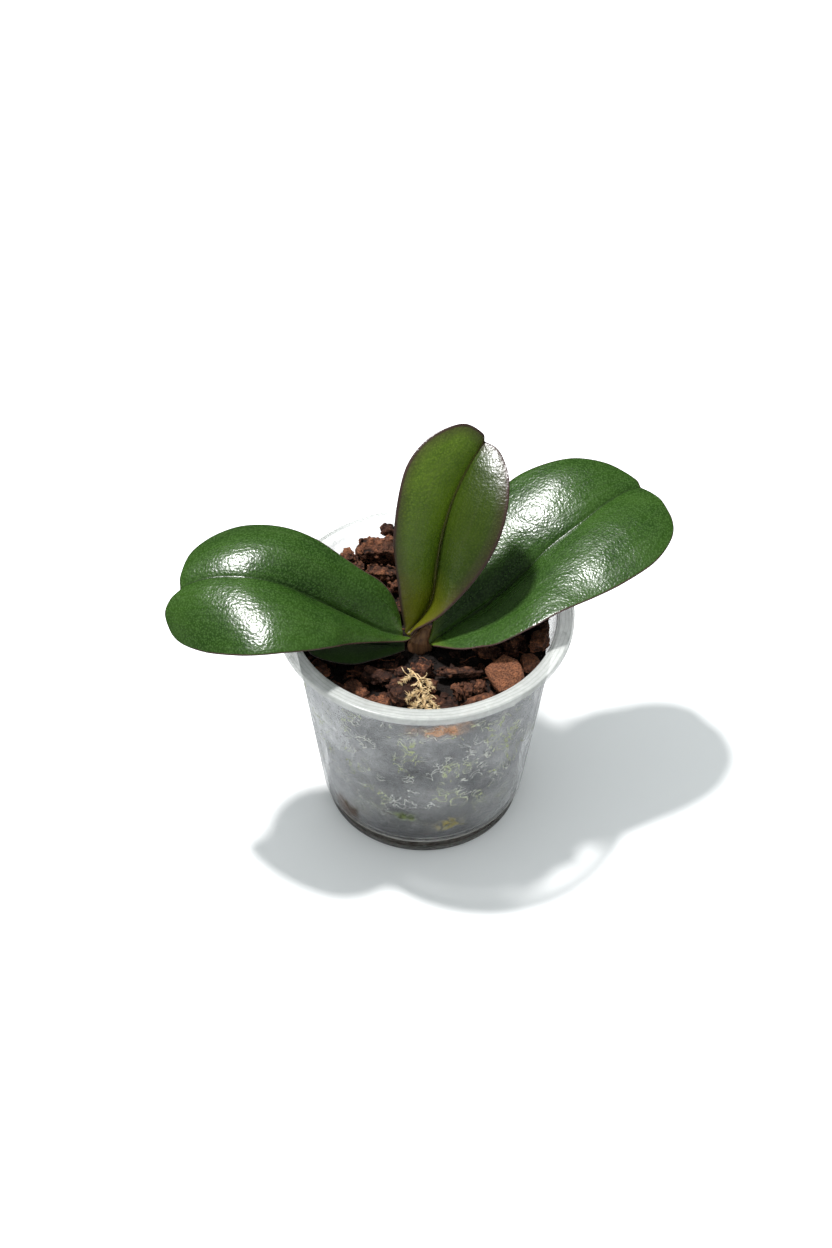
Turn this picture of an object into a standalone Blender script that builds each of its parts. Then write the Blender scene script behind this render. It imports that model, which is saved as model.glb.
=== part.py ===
"""A young moth orchid growing in bark, in a clear nursery pot.

Frame: metres, +Z up, the pot's axis on Z and its flat bottom at z = 0.
The sizes below are in millimetres and are turned to metres as the meshes are made.
"""
import math
import random

import bmesh
import bpy
import numpy as np
from mathutils import Matrix, Vector

MM = 0.001
GAP = 0.3                     # clearance left between pieces that touch

# ---- Pot -----------------------------------------------------------------------------------
POT_HEIGHT = 109.0            # bottom to the top of the rim
RIM_RADIUS = 62.0             # outer edge of the turned-over rim
RIM_OVERHANG = 6.4            # rim edge beyond the wall below it
RIM_DROP = 3.7                # how far the rim's skirt hangs down
RIM_INNER_ROUND = 2.6         # rounding from the wall onto the top of the rim
BODY_TAPER = 11.4             # radius lost from the rim down to the foot step
FOOT_HEIGHT = 8.8
FOOT_STEP = 2.0               # the foot is this much smaller in radius than the body above it
WALL = 0.9
BASE_THICKNESS = 1.4
POT_SEGMENTS = 64
DRAIN_COUNT = 8
DRAIN_RADIUS = 3.0
DRAIN_RING_RADIUS = 27.0
WEEP_COUNT = 8
WEEP_WIDTH = 1.8              # small slots through the foot, at the floor line
WEEP_HEIGHT = 1.6

# ---- Bark mix ------------------------------------------------------------------------------
MIX_DROP = 13.0               # from the top of the rim down to the bark, on the axis
MIX_SLOPE = math.radians(3.0) # the bark is heaped towards the back
MIX_SEGMENTS = 48

# ---- Plant ---------------------------------------------------------------------------------
CROWN_X = -2.0                # middle of the stem, where the leaves meet
CROWN_Y = -8.0
CROWN_RISE = 6.5              # crown above the bark surface
STEM_RADIUS = 4.6             # of the buried stem
NECK_RADIUS = 4.1             # of the stem where the leaf bases clasp it
STEM_DEPTH = 9.0              # length of the stem below the bark surface
LEAF_ROWS = 16
LEAF_COLUMNS = 4              # on each side of the midrib
LEAF_THICKNESS = 1.9
LEAF_MARGIN_THICKNESS = 0.45  # share of the thickness left at the margin
OLD_LEAF_THICKNESS = 1.4
ROOT_RADIUS = 2.1
ROOT_SEGMENTS = 12


# ---- Helpers -------------------------------------------------------------------------------
def clear_scene():
    for thing in list(bpy.data.objects):
        bpy.data.objects.remove(thing, do_unlink=True)


def collection(name):
    made = bpy.data.collections.new(name)
    bpy.context.scene.collection.children.link(made)
    return made


def material(name, color, roughness, metallic=0.0, alpha=1.0):
    made = bpy.data.materials.new(name)
    made.use_nodes = True
    shader = made.node_tree.nodes["Principled BSDF"]
    shader.inputs["Base Color"].default_value = (*color, 1.0)
    shader.inputs["Roughness"].default_value = roughness
    shader.inputs["Metallic"].default_value = metallic
    shader.inputs["Alpha"].default_value = alpha
    return made


def mesh_object(name, mesh, finish, home):
    made = bpy.data.objects.new(name, mesh)
    mesh.materials.clear()
    mesh.materials.append(finish)
    home.objects.link(made)
    return made


def shade(thing, angle=40.0):
    thing.data.shade_smooth()
    thing.data.set_sharp_from_angle(angle=math.radians(angle))


def turned(name, profile, steps, finish, home):
    """Turn a profile of (radius, height) points, in millimetres, round the Z axis."""
    mesh = bpy.data.meshes.new(name)
    points = [(radius * MM, 0.0, height * MM) for radius, height in profile]
    mesh.from_pydata(points, [(i, i + 1) for i in range(len(points) - 1)], [])
    made = mesh_object(name, mesh, finish, home)
    screw = made.modifiers.new("Turn", "SCREW")
    screw.steps = steps
    screw.render_steps = steps
    screw.use_merge_vertices = True
    screw.merge_threshold = 0.00001
    screw.use_smooth_shade = True
    return made


def evaluated_mesh(thing):
    graph = bpy.context.evaluated_depsgraph_get()
    return bpy.data.meshes.new_from_object(thing.evaluated_get(graph))


def hide_cutter(thing):
    thing.hide_render = True
    thing.display_type = "WIRE"


def cut(thing, cutter):
    hide_cutter(cutter)
    step = thing.modifiers.new("Cut " + cutter.name, "BOOLEAN")
    step.operation = "DIFFERENCE"
    step.solver = "EXACT"
    step.object = cutter


def arc(center, radius, start, end, steps):
    """Points on an arc from one angle to another, in degrees."""
    angles = [math.radians(start + (end - start) * i / steps) for i in range(steps + 1)]
    return [(center[0] + radius * math.cos(a), center[1] + radius * math.sin(a)) for a in angles]


def smooth_curve(points, count):
    """Read count + 1 evenly spaced points from a smooth curve through the given ones."""
    knots = np.array(points, dtype=float)
    ends = np.vstack([2 * knots[0] - knots[1], knots, 2 * knots[-1] - knots[-2]])
    fine = []
    for i in range(len(knots) - 1):
        a, b, c, d = ends[i:i + 4]
        for t in np.linspace(0.0, 1.0, 24, endpoint=False):
            fine.append(0.5 * (2 * b + (c - a) * t + (2 * a - 5 * b + 4 * c - d) * t ** 2
                               + (3 * b - a - 3 * c + d) * t ** 3))
    fine.append(knots[-1])
    fine = np.array(fine)
    run = np.concatenate([[0.0], np.cumsum(np.linalg.norm(np.diff(fine, axis=0), axis=1))])
    wanted = np.linspace(0.0, run[-1], count + 1)
    return np.column_stack([np.interp(wanted, run, fine[:, axis]) for axis in range(3)])


# ---- Sizes that follow from the ones above ---------------------------------------------------
BODY_TOP_RADIUS = RIM_RADIUS - RIM_OVERHANG
BODY_FOOT_RADIUS = BODY_TOP_RADIUS - BODY_TAPER
FOOT_RADIUS = BODY_FOOT_RADIUS - FOOT_STEP
MIX_LEVEL = POT_HEIGHT - MIX_DROP
CROWN_LEVEL = MIX_LEVEL + CROWN_RISE


def body_radius(height):
    """Outer radius of the tapered wall at a height above the foot."""
    share = (height - FOOT_HEIGHT) / (POT_HEIGHT - RIM_DROP - FOOT_HEIGHT)
    return BODY_FOOT_RADIUS + BODY_TAPER * share


def mix_height(y):
    """Height of the sloping bark surface at a distance behind the axis."""
    return MIX_LEVEL + math.tan(MIX_SLOPE) * y


# ---- Pot -----------------------------------------------------------------------------------
def pot_profile():
    """From the middle of the floor, up the inside, over the rim and down the outside."""
    inner_foot = FOOT_RADIUS - WALL
    inner_body = BODY_FOOT_RADIUS - WALL
    top = POT_HEIGHT
    under = top - WALL
    neck = body_radius(top - RIM_INNER_ROUND)
    inner_round = arc((neck - WALL + RIM_INNER_ROUND, top - RIM_INNER_ROUND), RIM_INNER_ROUND, 180, 90, 4)
    edge_round = arc((RIM_RADIUS - 1.0, top - 1.0), 1.0, 90, 0, 3)
    return [
        (0.0, BASE_THICKNESS),
        (inner_foot - 1.5, BASE_THICKNESS),
        (inner_foot, BASE_THICKNESS + 1.5),
        (inner_foot, FOOT_HEIGHT),
        (inner_body, FOOT_HEIGHT + FOOT_STEP),
        *inner_round,
        *edge_round,
        (RIM_RADIUS, top - RIM_DROP),
        (RIM_RADIUS - WALL, top - RIM_DROP),
        (RIM_RADIUS - WALL, under - 0.6),
        (RIM_RADIUS - WALL - 0.6, under),
        (neck + RIM_INNER_ROUND, under),
        (neck + 0.6, under - 0.8),
        (neck, under - RIM_INNER_ROUND),
        (BODY_FOOT_RADIUS, FOOT_HEIGHT + 0.8),
        (BODY_FOOT_RADIUS - 0.6, FOOT_HEIGHT),
        (FOOT_RADIUS, FOOT_HEIGHT - 0.6),
        (FOOT_RADIUS, 1.2),
        (FOOT_RADIUS - 1.2, 0.0),
        (0.0, 0.0),
    ]


def build_pot(home, cutters):
    plastic = material("clear_plastic", (0.78, 0.80, 0.80), 0.25, alpha=0.45)
    pot = turned("clear_pot", pot_profile(), POT_SEGMENTS, plastic, home)

    drains = bmesh.new()
    for i in range(DRAIN_COUNT):
        around = Matrix.Rotation(2 * math.pi * (i + 0.5) / DRAIN_COUNT, 4, "Z")
        place = around @ Matrix.Translation((DRAIN_RING_RADIUS * MM, 0, BASE_THICKNESS / 2 * MM))
        bmesh.ops.create_cone(
            drains, cap_ends=True, segments=16, radius1=DRAIN_RADIUS * MM, radius2=DRAIN_RADIUS * MM,
            depth=4 * BASE_THICKNESS * MM, matrix=place)
    for i in range(WEEP_COUNT):
        around = Matrix.Rotation(2 * math.pi * (i + 0.03) / WEEP_COUNT - math.pi / 2, 4, "Z")
        length = 8 * WALL
        slot = Matrix.Diagonal((length * MM, WEEP_WIDTH * MM, WEEP_HEIGHT * MM, 1.0))
        rise = BASE_THICKNESS + 1.5 + WEEP_HEIGHT / 2
        bmesh.ops.create_cube(
            drains, size=1.0, matrix=around @ Matrix.Translation((FOOT_RADIUS * MM, 0, rise * MM)) @ slot)
    mesh = bpy.data.meshes.new("drain_holes")
    drains.to_mesh(mesh)
    drains.free()
    cut(pot, mesh_object("drain_holes", mesh, plastic, cutters))
    return pot


# ---- Stem and roots ------------------------------------------------------------------------
def stem_mesh(name, grow):
    """A short stem with its foot in the bark; its top leans into the youngest leaf's base."""
    shape = bmesh.new()
    foot = mix_height(CROWN_Y) - STEM_DEPTH
    # Each ring: height, radius, and lean to the right and to the back.
    rings = (
        (foot - grow, STEM_RADIUS * 0.62, 0.0, 0.0),
        (foot + 2.0, STEM_RADIUS * 0.95, 0.0, 0.0),
        (foot + STEM_DEPTH * 0.8, STEM_RADIUS * 1.05, 0.0, 0.0),
        (CROWN_LEVEL - 3.5, NECK_RADIUS, 0.4, 0.0),
        (CROWN_LEVEL - 0.5, NECK_RADIUS * 0.7, 1.8, 0.4),
        (CROWN_LEVEL + 2.0 + grow, NECK_RADIUS * 0.47, 2.4, 0.8))
    loops = []
    for height, ring_radius, lean_x, lean_y in rings:
        radius = ring_radius + grow
        ring = bmesh.ops.create_circle(shape, segments=20, radius=radius * MM)["verts"]
        for vert in ring:
            vert.co.x = vert.co.x * 1.12 + (CROWN_X + lean_x) * MM
            vert.co.y = vert.co.y * 0.9 + (CROWN_Y + lean_y) * MM
            vert.co.z = height * MM
        loops.append(ring)
    for low, high in zip(loops, loops[1:]):
        for i in range(len(low)):
            after = (i + 1) % len(low)
            shape.faces.new((low[i], low[after], high[after], high[i]))
    shape.faces.new(list(reversed(loops[0])))
    shape.faces.new(loops[-1])
    mesh = bpy.data.meshes.new(name)
    shape.to_mesh(mesh)
    shape.free()
    return mesh


# Each root: bearing from the stem, how far out it reaches, the share of the pot's depth it goes
# down, and its sideways bow.
ROOTS = (
    (20.0, 30.0, 0.68, 9.0),
    (95.0, 34.0, 0.55, -8.0),
    (165.0, 27.0, 0.75, 10.0),
    (235.0, 22.0, 0.62, -9.0),
    (305.0, 25.0, 0.79, 8.0),
)


def root_path(bearing, reach, share, bow):
    """A root leaves the stem's foot, spreads, and turns down through the bark."""
    turn = math.radians(bearing)
    out = np.array([math.cos(turn), math.sin(turn), 0.0])
    side = np.array([-out[1], out[0], 0.0])
    start = np.array([CROWN_X, CROWN_Y, mix_height(CROWN_Y) - STEM_DEPTH * 0.45])
    depth = (start[2] - BASE_THICKNESS) * share
    clear = STEM_RADIUS * 1.2 + ROOT_RADIUS + 2 * GAP
    points = [
        start + out * clear,
        start + out * (clear + reach * 0.35) + side * bow * 0.3 - np.array([0, 0, depth * 0.10]),
        start + out * (clear + reach * 0.7) + side * bow * 0.9 - np.array([0, 0, depth * 0.33]),
        start + out * (clear + reach * 0.85) + side * bow * 0.7 - np.array([0, 0, depth * 0.66]),
        start + out * (clear + reach * 0.7) + side * bow * 0.1 - np.array([0, 0, depth]),
    ]
    return smooth_curve(points, ROOT_SEGMENTS)


def tube(name, path, radius, finish, home):
    """A round tube along a path, as a closed mesh."""
    line = bpy.data.curves.new(name, "CURVE")
    line.dimensions = "3D"
    line.bevel_depth = radius * MM
    line.bevel_resolution = 2
    line.use_fill_caps = True
    spline = line.splines.new("POLY")
    spline.points.add(len(path) - 1)
    for point, place in zip(spline.points, path):
        point.co = (*(place * MM), 1.0)
    draft = bpy.data.objects.new(name + "_line", line)
    home.objects.link(draft)
    mesh = evaluated_mesh(draft)
    bpy.data.objects.remove(draft, do_unlink=True)
    shape = bmesh.new()
    shape.from_mesh(mesh)
    bmesh.ops.remove_doubles(shape, verts=shape.verts, dist=0.00002)
    bmesh.ops.recalc_face_normals(shape, faces=shape.faces)
    shape.to_mesh(mesh)
    shape.free()
    return mesh_object(name, mesh, finish, home)


# ---- Bark mix ------------------------------------------------------------------------------
def build_mix(home, cutters, finish):
    """The packed bark: a turned plug that fills the pot, cut to a slope and bored for the plant."""
    inner_foot = FOOT_RADIUS - WALL - GAP
    inner_body = BODY_FOOT_RADIUS - WALL - GAP
    bottom = BASE_THICKNESS + GAP
    high = POT_HEIGHT - RIM_INNER_ROUND
    profile = [
        (0.0, high),
        (body_radius(high) - WALL - 2 * GAP, high),
        (inner_body - GAP, FOOT_HEIGHT + FOOT_STEP + GAP),
        (inner_foot - GAP, FOOT_HEIGHT),
        (inner_foot - GAP, bottom + 2.0),
        (inner_foot - 2.0, bottom),
        (0.0, bottom),
    ]
    mix = turned("bark_mix", profile, MIX_SEGMENTS, finish, home)
    mesh = evaluated_mesh(mix)
    bpy.data.objects.remove(mix, do_unlink=True)
    shape = bmesh.new()
    shape.from_mesh(mesh)
    normal = Vector((0.0, -math.sin(MIX_SLOPE), math.cos(MIX_SLOPE)))
    sliced = bmesh.ops.bisect_plane(
        shape, geom=shape.verts[:] + shape.edges[:] + shape.faces[:],
        plane_co=(0.0, 0.0, MIX_LEVEL * MM), plane_no=normal, clear_outer=True)
    rim = [item for item in sliced["geom_cut"] if isinstance(item, bmesh.types.BMEdge)]
    bmesh.ops.contextual_create(shape, geom=rim)
    bmesh.ops.recalc_face_normals(shape, faces=shape.faces)
    shape.to_mesh(mesh)
    shape.free()
    mix = mesh_object("bark_mix", mesh, finish, home)

    cut(mix, mesh_object("stem_well", stem_mesh("stem_well", GAP), finish, cutters))
    for i, root in enumerate(ROOTS):
        path = root_path(*root)
        well = np.array([CROWN_X, CROWN_Y, path[0][2]])
        path = np.vstack([path[0] * 0.4 + well * 0.6, path])
        cut(mix, tube(f"root_bore_{i + 1:02d}", path, ROOT_RADIUS + GAP, finish, cutters))
    return mix


def build_plant_base(home):
    bark_brown = material("stem_skin", (0.16, 0.10, 0.05), 0.6)
    velamen = material("root_skin", (0.52, 0.55, 0.42), 0.7)
    shade(mesh_object("stem", stem_mesh("stem", 0.0), bark_brown, home))
    for i, root in enumerate(ROOTS):
        shade(tube(f"root_{i + 1:02d}", root_path(*root), ROOT_RADIUS, velamen, home), 60)


# ---- Loose bark and moss on top --------------------------------------------------------------
# Each chip: place on the bark surface, length, width and thickness, then its turn about the
# vertical, its pitch and roll in degrees, and how far it is propped up by what lies under it.
CHIPS = (
    ((-27.5, -36.5), (11.0, 6.5, 5.0), -45, 6, 10, 0.0),
    ((-19.0, -43.8), (10.0, 7.0, 5.0), 5, -8, 12, 0.0),
    ((-19.5, -28.8), (12.0, 6.0, 4.5), -8, 8, 12, 0.5),
    ((-8.0, -37.5), (12.5, 10.5, 6.5), 25, 14, 16, 0.0),
    ((-1.0, -26.0), (10.0, 7.0, 5.5), 60, 12, -10, 0.0),
    ((3.0, -35.0), (7.0, 4.0, 6.0), 80, 20, 0, 0.0),
    ((7.0, -43.5), (9.5, 7.0, 5.0), 10, 10, 10, 0.0),
    ((-9.8, -25.5), (5.0, 4.5, 3.5), 30, 10, 0, 0.0),
    ((-43.0, -23.5), (9.5, 5.0, 3.5), -60, 0, 10, 0.0),
    ((-37.0, -33.5), (8.5, 4.2, 4.0), -42, 5, 5, 0.0),
    ((33.0, -29.0), (14.5, 12.5, 6.5), -55, 10, 22, 0.0),
    ((21.5, -43.5), (17.0, 6.0, 6.0), 26, -6, 14, 0.0),
    ((13.5, -36.0), (7.5, 3.0, 4.5), 105, 14, 0, 0.0),
    ((18.0, -35.5), (7.5, 3.4, 4.5), 90, 14, 6, 0.0),
    ((22.6, -34.0), (7.5, 4.0, 4.5), 80, 14, 0, 0.0),
    ((43.0, -21.5), (8.5, 7.0, 6.0), 15, 12, -10, 0.0),
    ((47.5, -10.5), (11.5, 6.5, 6.0), 76, 16, -12, 0.0),
    ((14.5, -25.6), (19.0, 4.0, 3.0), 6, 3, 0, 0.6),
    ((50.0, 2.5), (12.0, 3.4, 6.0), 88, 8, 0, 0.0),
    ((-20.0, 38.5), (18.0, 9.5, 9.5), 8, 6, 14, 0.5),
    ((-13.5, 48.5), (11.0, 4.0, 6.0), -10, 8, 6, 4.2),
    ((-18.0, 28.5), (13.0, 6.0, 5.0), -6, 4, 8, 0.0),
    ((-28.5, 31.0), (5.5, 5.0, 5.0), 20, 0, 12, 0.0),
    ((-32.5, 37.5), (6.0, 4.5, 4.5), 140, 6, 0, 0.0),
    ((-37.5, 31.5), (5.0, 4.0, 4.0), 60, 0, 0, 0.0),
    ((-12.5, 21.5), (5.5, 4.0, 3.8), 35, 8, 0, 0.0),
    ((-7.5, 36.0), (11.0, 2.2, 2.6), 96, 6, 0, 0.0),
    ((3.5, 45.0), (13.0, 7.5, 6.0), 6, 8, 8, 0.0),
    ((20.5, 41.0), (12.0, 8.0, 6.0), -28, -8, 8, 0.0),
    ((34.0, 30.0), (13.0, 8.5, 6.0), -44, 8, -8, 0.0),
    ((44.5, 17.0), (11.5, 7.0, 5.5), 104, 6, 8, 0.0),
    ((30.0, 12.0), (13.0, 8.5, 4.5), 30, 6, 0, 0.0),
    ((13.5, 25.0), (12.0, 8.0, 5.5), 62, 6, 8, 0.0),
    ((-43.5, 12.0), (11.5, 7.5, 5.5), 98, 8, -6, 0.0),
    ((-38.0, 23.0), (8.5, 6.0, 5.0), 130, 6, 6, 0.0),
    ((0.0, 31.0), (9.5, 7.0, 5.0), 18, 8, 0, 0.0),
    ((-27.0, 14.0), (13.0, 8.0, 5.0), 12, 6, 6, 0.0),
    ((36.5, -10.0), (10.0, 8.0, 5.0), 42, 6, 6, 0.0),
    ((26.0, -13.0), (11.0, 6.0, 4.0), -18, 4, 0, 0.0),
    ((8.5, 10.5), (9.0, 7.0, 3.6), 40, 4, 0, 0.0),
    ((-14.0, 8.0), (9.5, 7.0, 4.0), 150, 4, 0, 0.0),
    ((-46.5, 1.5), (9.0, 6.5, 3.4), 85, 4, 0, 0.0),
)
CHIP_ROUNDING = 0.5
CHIP_ROUGHNESS = 0.13
MOSS_RADIUS = 0.7
# Places along the dry moss strand, with its height above the bark surface.
MOSS_PATH = (
    (-7.0, -28.5, 8.0), (-4.0, -32.0, 9.5), (-1.5, -36.0, 9.0), (0.0, -39.5, 7.5),
    (0.5, -43.5, 6.0), (0.5, -47.0, 5.0))


def chip_mesh(name, size, seed):
    """A broken piece of bark: a block with worn corners and an uneven surface."""
    chance = random.Random(seed)
    shape = bmesh.new()
    bmesh.ops.create_cube(shape, size=2.0)
    cuts = 2 if size[0] * size[1] > 60.0 else 1
    bmesh.ops.subdivide_edges(shape, edges=shape.edges[:], cuts=cuts, use_grid_fill=True)
    for vert in shape.verts:
        worn = vert.co.lerp(vert.co.normalized() * 1.15, CHIP_ROUNDING)
        rough = Vector([chance.uniform(-CHIP_ROUGHNESS, CHIP_ROUGHNESS) for _ in range(3)])
        worn += rough
        vert.co = Vector([worn[axis] * size[axis] / 2 * MM for axis in range(3)])
    mesh = bpy.data.meshes.new(name)
    shape.to_mesh(mesh)
    shape.free()
    return mesh


def build_chips(home, finish):
    for i, (place, size, turn, pitch, roll, lift) in enumerate(CHIPS):
        name = f"bark_chip_{i + 1:02d}"
        mesh = chip_mesh(name, size, i)
        lie = (Matrix.Rotation(math.radians(turn), 4, "Z")
               @ Matrix.Rotation(math.radians(pitch), 4, "Y")
               @ Matrix.Rotation(math.radians(roll), 4, "X"))
        mesh.transform(lie)
        away = Vector(place).normalized()
        room = body_radius(mix_height(place[1]) - size[2] / 2) - WALL - GAP
        reach = max((Vector(place) + vert.co.xy / MM).length for vert in mesh.vertices)
        slide = min(0.0, room - reach)
        place = Vector(place) + away * slide
        mesh.transform(Matrix.Translation((place.x * MM, place.y * MM, 0.0)))
        rest = max(mix_height(vert.co.y / MM) + GAP - vert.co.z / MM for vert in mesh.vertices)
        mesh.transform(Matrix.Translation((0.0, 0.0, (rest + lift) * MM)))
        shade(mesh_object(name, mesh, finish, home), 30)


def build_moss(home):
    straw = material("dry_moss", (0.72, 0.58, 0.30), 0.9)
    path = [(x, y, mix_height(y) + rise) for x, y, rise in MOSS_PATH]
    shade(tube("moss_strand", smooth_curve(path, 14), MOSS_RADIUS, straw, home), 60)


# ---- Leaves --------------------------------------------------------------------------------
# Each leaf is drawn by three curves from its base to the notch at its tip, in millimetres from
# the crown: along the midrib, and along the margins to the left and right of someone who looks
# from the base to the tip. Both margins run on round the tip to the notch.
LEFT_LEAF = {
    "midrib": (
        (-6.5, -2.0, 0.0), (-15.5, -4.5, 5.5), (-28.5, -5.0, 14.5), (-42.5, -7.0, 26.5),
        (-56.5, -8.5, 36.5), (-69.5, -9.0, 40.5), (-82.0, -8.0, 39.5), (-92.5, -7.5, 35.0),
        (-96.5, -8.0, 32.0)),
    "left": (
        (-3.0, -3.0, 0.0), (-6.0, -6.5, 1.5), (-12.0, -10.5, 5.0), (-18.5, -16.0, 10.5),
        (-27.5, -24.0, 18.0), (-34.5, -32.0, 24.5), (-43.0, -38.0, 29.0), (-51.5, -42.0, 32.0),
        (-62.0, -44.0, 32.5), (-72.5, -42.0, 30.0), (-86.5, -34.5, 24.0), (-97.5, -24.0, 19.5),
        (-102.5, -15.5, 24.5), (-100.5, -11.0, 29.5), (-96.5, -8.0, 32.0)),
    "right": (
        (-8.0, 3.4, 6.0), (-11.0, 6.8, 14.5), (-16.0, 9.0, 21.0), (-23.0, 9.5, 26.5),
        (-30.5, 11.5, 31.5), (-43.0, 15.5, 39.0), (-56.5, 18.5, 42.5), (-71.5, 20.0, 41.5),
        (-84.0, 17.0, 38.5), (-93.0, 8.0, 37.0), (-96.5, -2.5, 35.0), (-96.5, -8.0, 32.0)),
}
RIGHT_LEAF = {
    "midrib": (
        (4.0, -5.0, -1.0), (16.0, 4.0, 1.5), (29.5, 12.0, 6.5), (42.0, 20.0, 14.5),
        (53.5, 27.5, 23.0), (65.5, 35.5, 28.5), (77.0, 46.0, 30.5), (86.5, 54.5, 30.0),
        (93.0, 58.5, 28.5)),
    "left": (
        (8.5, 3.5, 4.0), (14.0, 20.0, 13.0), (23.5, 42.0, 23.5), (33.0, 55.0, 29.0),
        (41.0, 61.5, 32.5), (53.5, 65.5, 36.0), (66.0, 68.5, 36.0), (79.5, 67.5, 33.5),
        (90.5, 62.5, 30.0), (93.0, 58.5, 28.5)),
    "right": (
        (5.5, -7.5, 0.0), (16.0, -14.0, 5.0), (24.0, -16.0, 8.5), (32.0, -17.5, 12.5),
        (46.0, -15.0, 20.0), (57.0, -10.0, 23.5), (71.5, -2.5, 24.5), (83.0, 4.0, 26.0),
        (96.0, 14.5, 27.5), (103.5, 27.0, 28.0), (105.0, 37.0, 28.5), (101.5, 48.5, 29.5),
        (97.5, 54.0, 29.5), (93.0, 58.5, 28.5)),
}
CENTRE_LEAF = {
    "midrib": (
        (-5.5, -1.5, 0.5), (-2.0, 1.5, 2.5), (1.5, 4.5, 5.5), (5.0, 7.5, 13.0), (6.5, 11.0, 28.0),
        (8.8, 14.5, 43.5), (13.0, 20.0, 57.5), (19.0, 27.5, 68.0), (23.5, 33.0, 73.0),
        (25.5, 35.0, 74.5)),
    "left": (
        (-6.5, 0.0, 3.0), (-8.0, 1.0, 13.5), (-10.5, 5.0, 37.0), (-11.0, 6.5, 48.5),
        (-9.0, 12.5, 66.0), (-5.0, 20.0, 77.0), (4.0, 27.5, 84.0), (16.5, 33.0, 85.5),
        (24.5, 35.0, 79.0), (25.5, 35.0, 74.5)),
    "right": (
        (-4.0, -4.0, 2.5), (-1.5, -4.5, 6.5), (2.5, -5.0, 10.0), (9.5, -5.0, 16.5),
        (21.0, -3.5, 32.0), (29.5, 0.0, 47.5), (34.0, 7.0, 60.5), (35.0, 18.0, 69.0),
        (32.5, 27.5, 73.0), (29.5, 32.0, 74.5), (25.5, 35.0, 74.5)),
}
OLD_LEAF = {
    "midrib": ((-6.0, -4.0, -3.5), (-18.0, -4.0, -2.5), (-32.0, -3.5, -1.5), (-48.0, -4.5, -1.5)),
    "left": (
        (-6.0, -6.5, -4.0), (-12.0, -10.0, -3.5), (-18.5, -13.5, -2.5), (-27.0, -16.5, -2.0),
        (-36.5, -15.5, -1.5), (-44.5, -11.5, -1.5), (-48.0, -4.5, -1.5)),
    "right": (
        (-6.5, -1.5, -3.0), (-14.0, 5.0, -1.5), (-27.0, 9.0, -0.5), (-38.0, 7.5, -1.0),
        (-45.5, 2.0, -1.5), (-48.0, -4.5, -1.5)),
}


def half_blade(midrib, margin, tip_share, crown):
    """Points of one side of a blade: rows from base to tip, columns from midrib to margin.

    The last row is the end of the margin itself, so the blade closes round its tip with no pole.
    """
    along = smooth_curve(midrib, LEAF_ROWS)
    edge = smooth_curve(margin, 10 * LEAF_ROWS)
    split = int(len(edge) * tip_share)
    side = smooth_curve(edge[:split + 1], LEAF_ROWS)
    end = smooth_curve(edge[split:][::-1], LEAF_COLUMNS)
    rows = []
    for i in range(LEAF_ROWS + 1):
        u = i / LEAF_ROWS
        reach = side[i] - along[i]
        ahead = along[min(i + 1, LEAF_ROWS)] - along[max(i - 1, 0)]
        up = np.cross(ahead, reach)
        up = up / np.linalg.norm(up)
        row = []
        for j in range(LEAF_COLUMNS + 1):
            v = j / LEAF_COLUMNS
            straight_end = along[-1] * (1 - v) + side[-1] * v
            point = along[i] * (1 - v) + side[i] * v + (end[j] - straight_end) * u ** 4
            swell = crown * 4 * v * (1 - v) * math.sin(math.pi * min(1.0, 1.6 * u) / 2)
            row.append(point + up * swell * (1 - u ** 6))
        rows.append(row)
    return rows


def build_leaf(name, curves, crown, thickness, tip_share, finish, home):
    """A leaf blade: a grid laid on its three curves, then thickened downwards."""
    left = half_blade(curves["midrib"], curves["left"], tip_share, crown)
    right = half_blade(curves["midrib"], curves["right"], tip_share, -crown)
    shape = bmesh.new()
    across = 2 * LEAF_COLUMNS + 1
    origin = np.array([CROWN_X, CROWN_Y, CROWN_LEVEL])
    for left_row, right_row in zip(left, right):
        for point in left_row[::-1] + right_row[1:]:
            shape.verts.new((origin + point) * MM)
    shape.verts.ensure_lookup_table()
    for i in range(LEAF_ROWS):
        for j in range(across - 1):
            first = i * across + j
            corners = (first, first + 1, first + 1 + across, first + across)
            shape.faces.new([shape.verts[k] for k in corners])
    mesh = bpy.data.meshes.new(name)
    shape.to_mesh(mesh)
    shape.free()
    leaf = mesh_object(name, mesh, finish, home)
    body = leaf.vertex_groups.new(name="body")
    for index in range(len(mesh.vertices)):
        column = index % across
        at_edge = column in (0, across - 1) or index >= len(mesh.vertices) - across
        body.add([index], LEAF_MARGIN_THICKNESS if at_edge else 1.0, "REPLACE")
    wall = leaf.modifiers.new("Thickness", "SOLIDIFY")
    wall.thickness = thickness * MM
    wall.offset = -1.0
    wall.vertex_group = "body"
    mesh.shade_smooth()
    return leaf


def build_leaves(home):
    green = material("leaf_green", (0.05, 0.17, 0.04), 0.3)
    young = material("young_leaf_green", (0.12, 0.20, 0.03), 0.35)
    dark = material("old_leaf_green", (0.03, 0.10, 0.03), 0.35)
    build_leaf("leaf_left", LEFT_LEAF, 2.7, LEAF_THICKNESS, 0.86, green, home)
    build_leaf("leaf_right", RIGHT_LEAF, 3.6, LEAF_THICKNESS, 0.86, green, home)
    build_leaf("leaf_centre", CENTRE_LEAF, 2.6, LEAF_THICKNESS, 0.86, young, home)
    build_leaf("leaf_old", OLD_LEAF, 1.2, OLD_LEAF_THICKNESS, 0.84, dark, home)


def main():
    clear_scene()
    home = collection("potted_orchid")
    cutters = collection("cutters")
    bark = material("bark", (0.14, 0.06, 0.035), 0.85)
    build_pot(home, cutters)
    build_mix(home, cutters, bark)
    build_chips(home, bark)
    build_moss(home)
    build_plant_base(home)
    build_leaves(home)


main()
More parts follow.
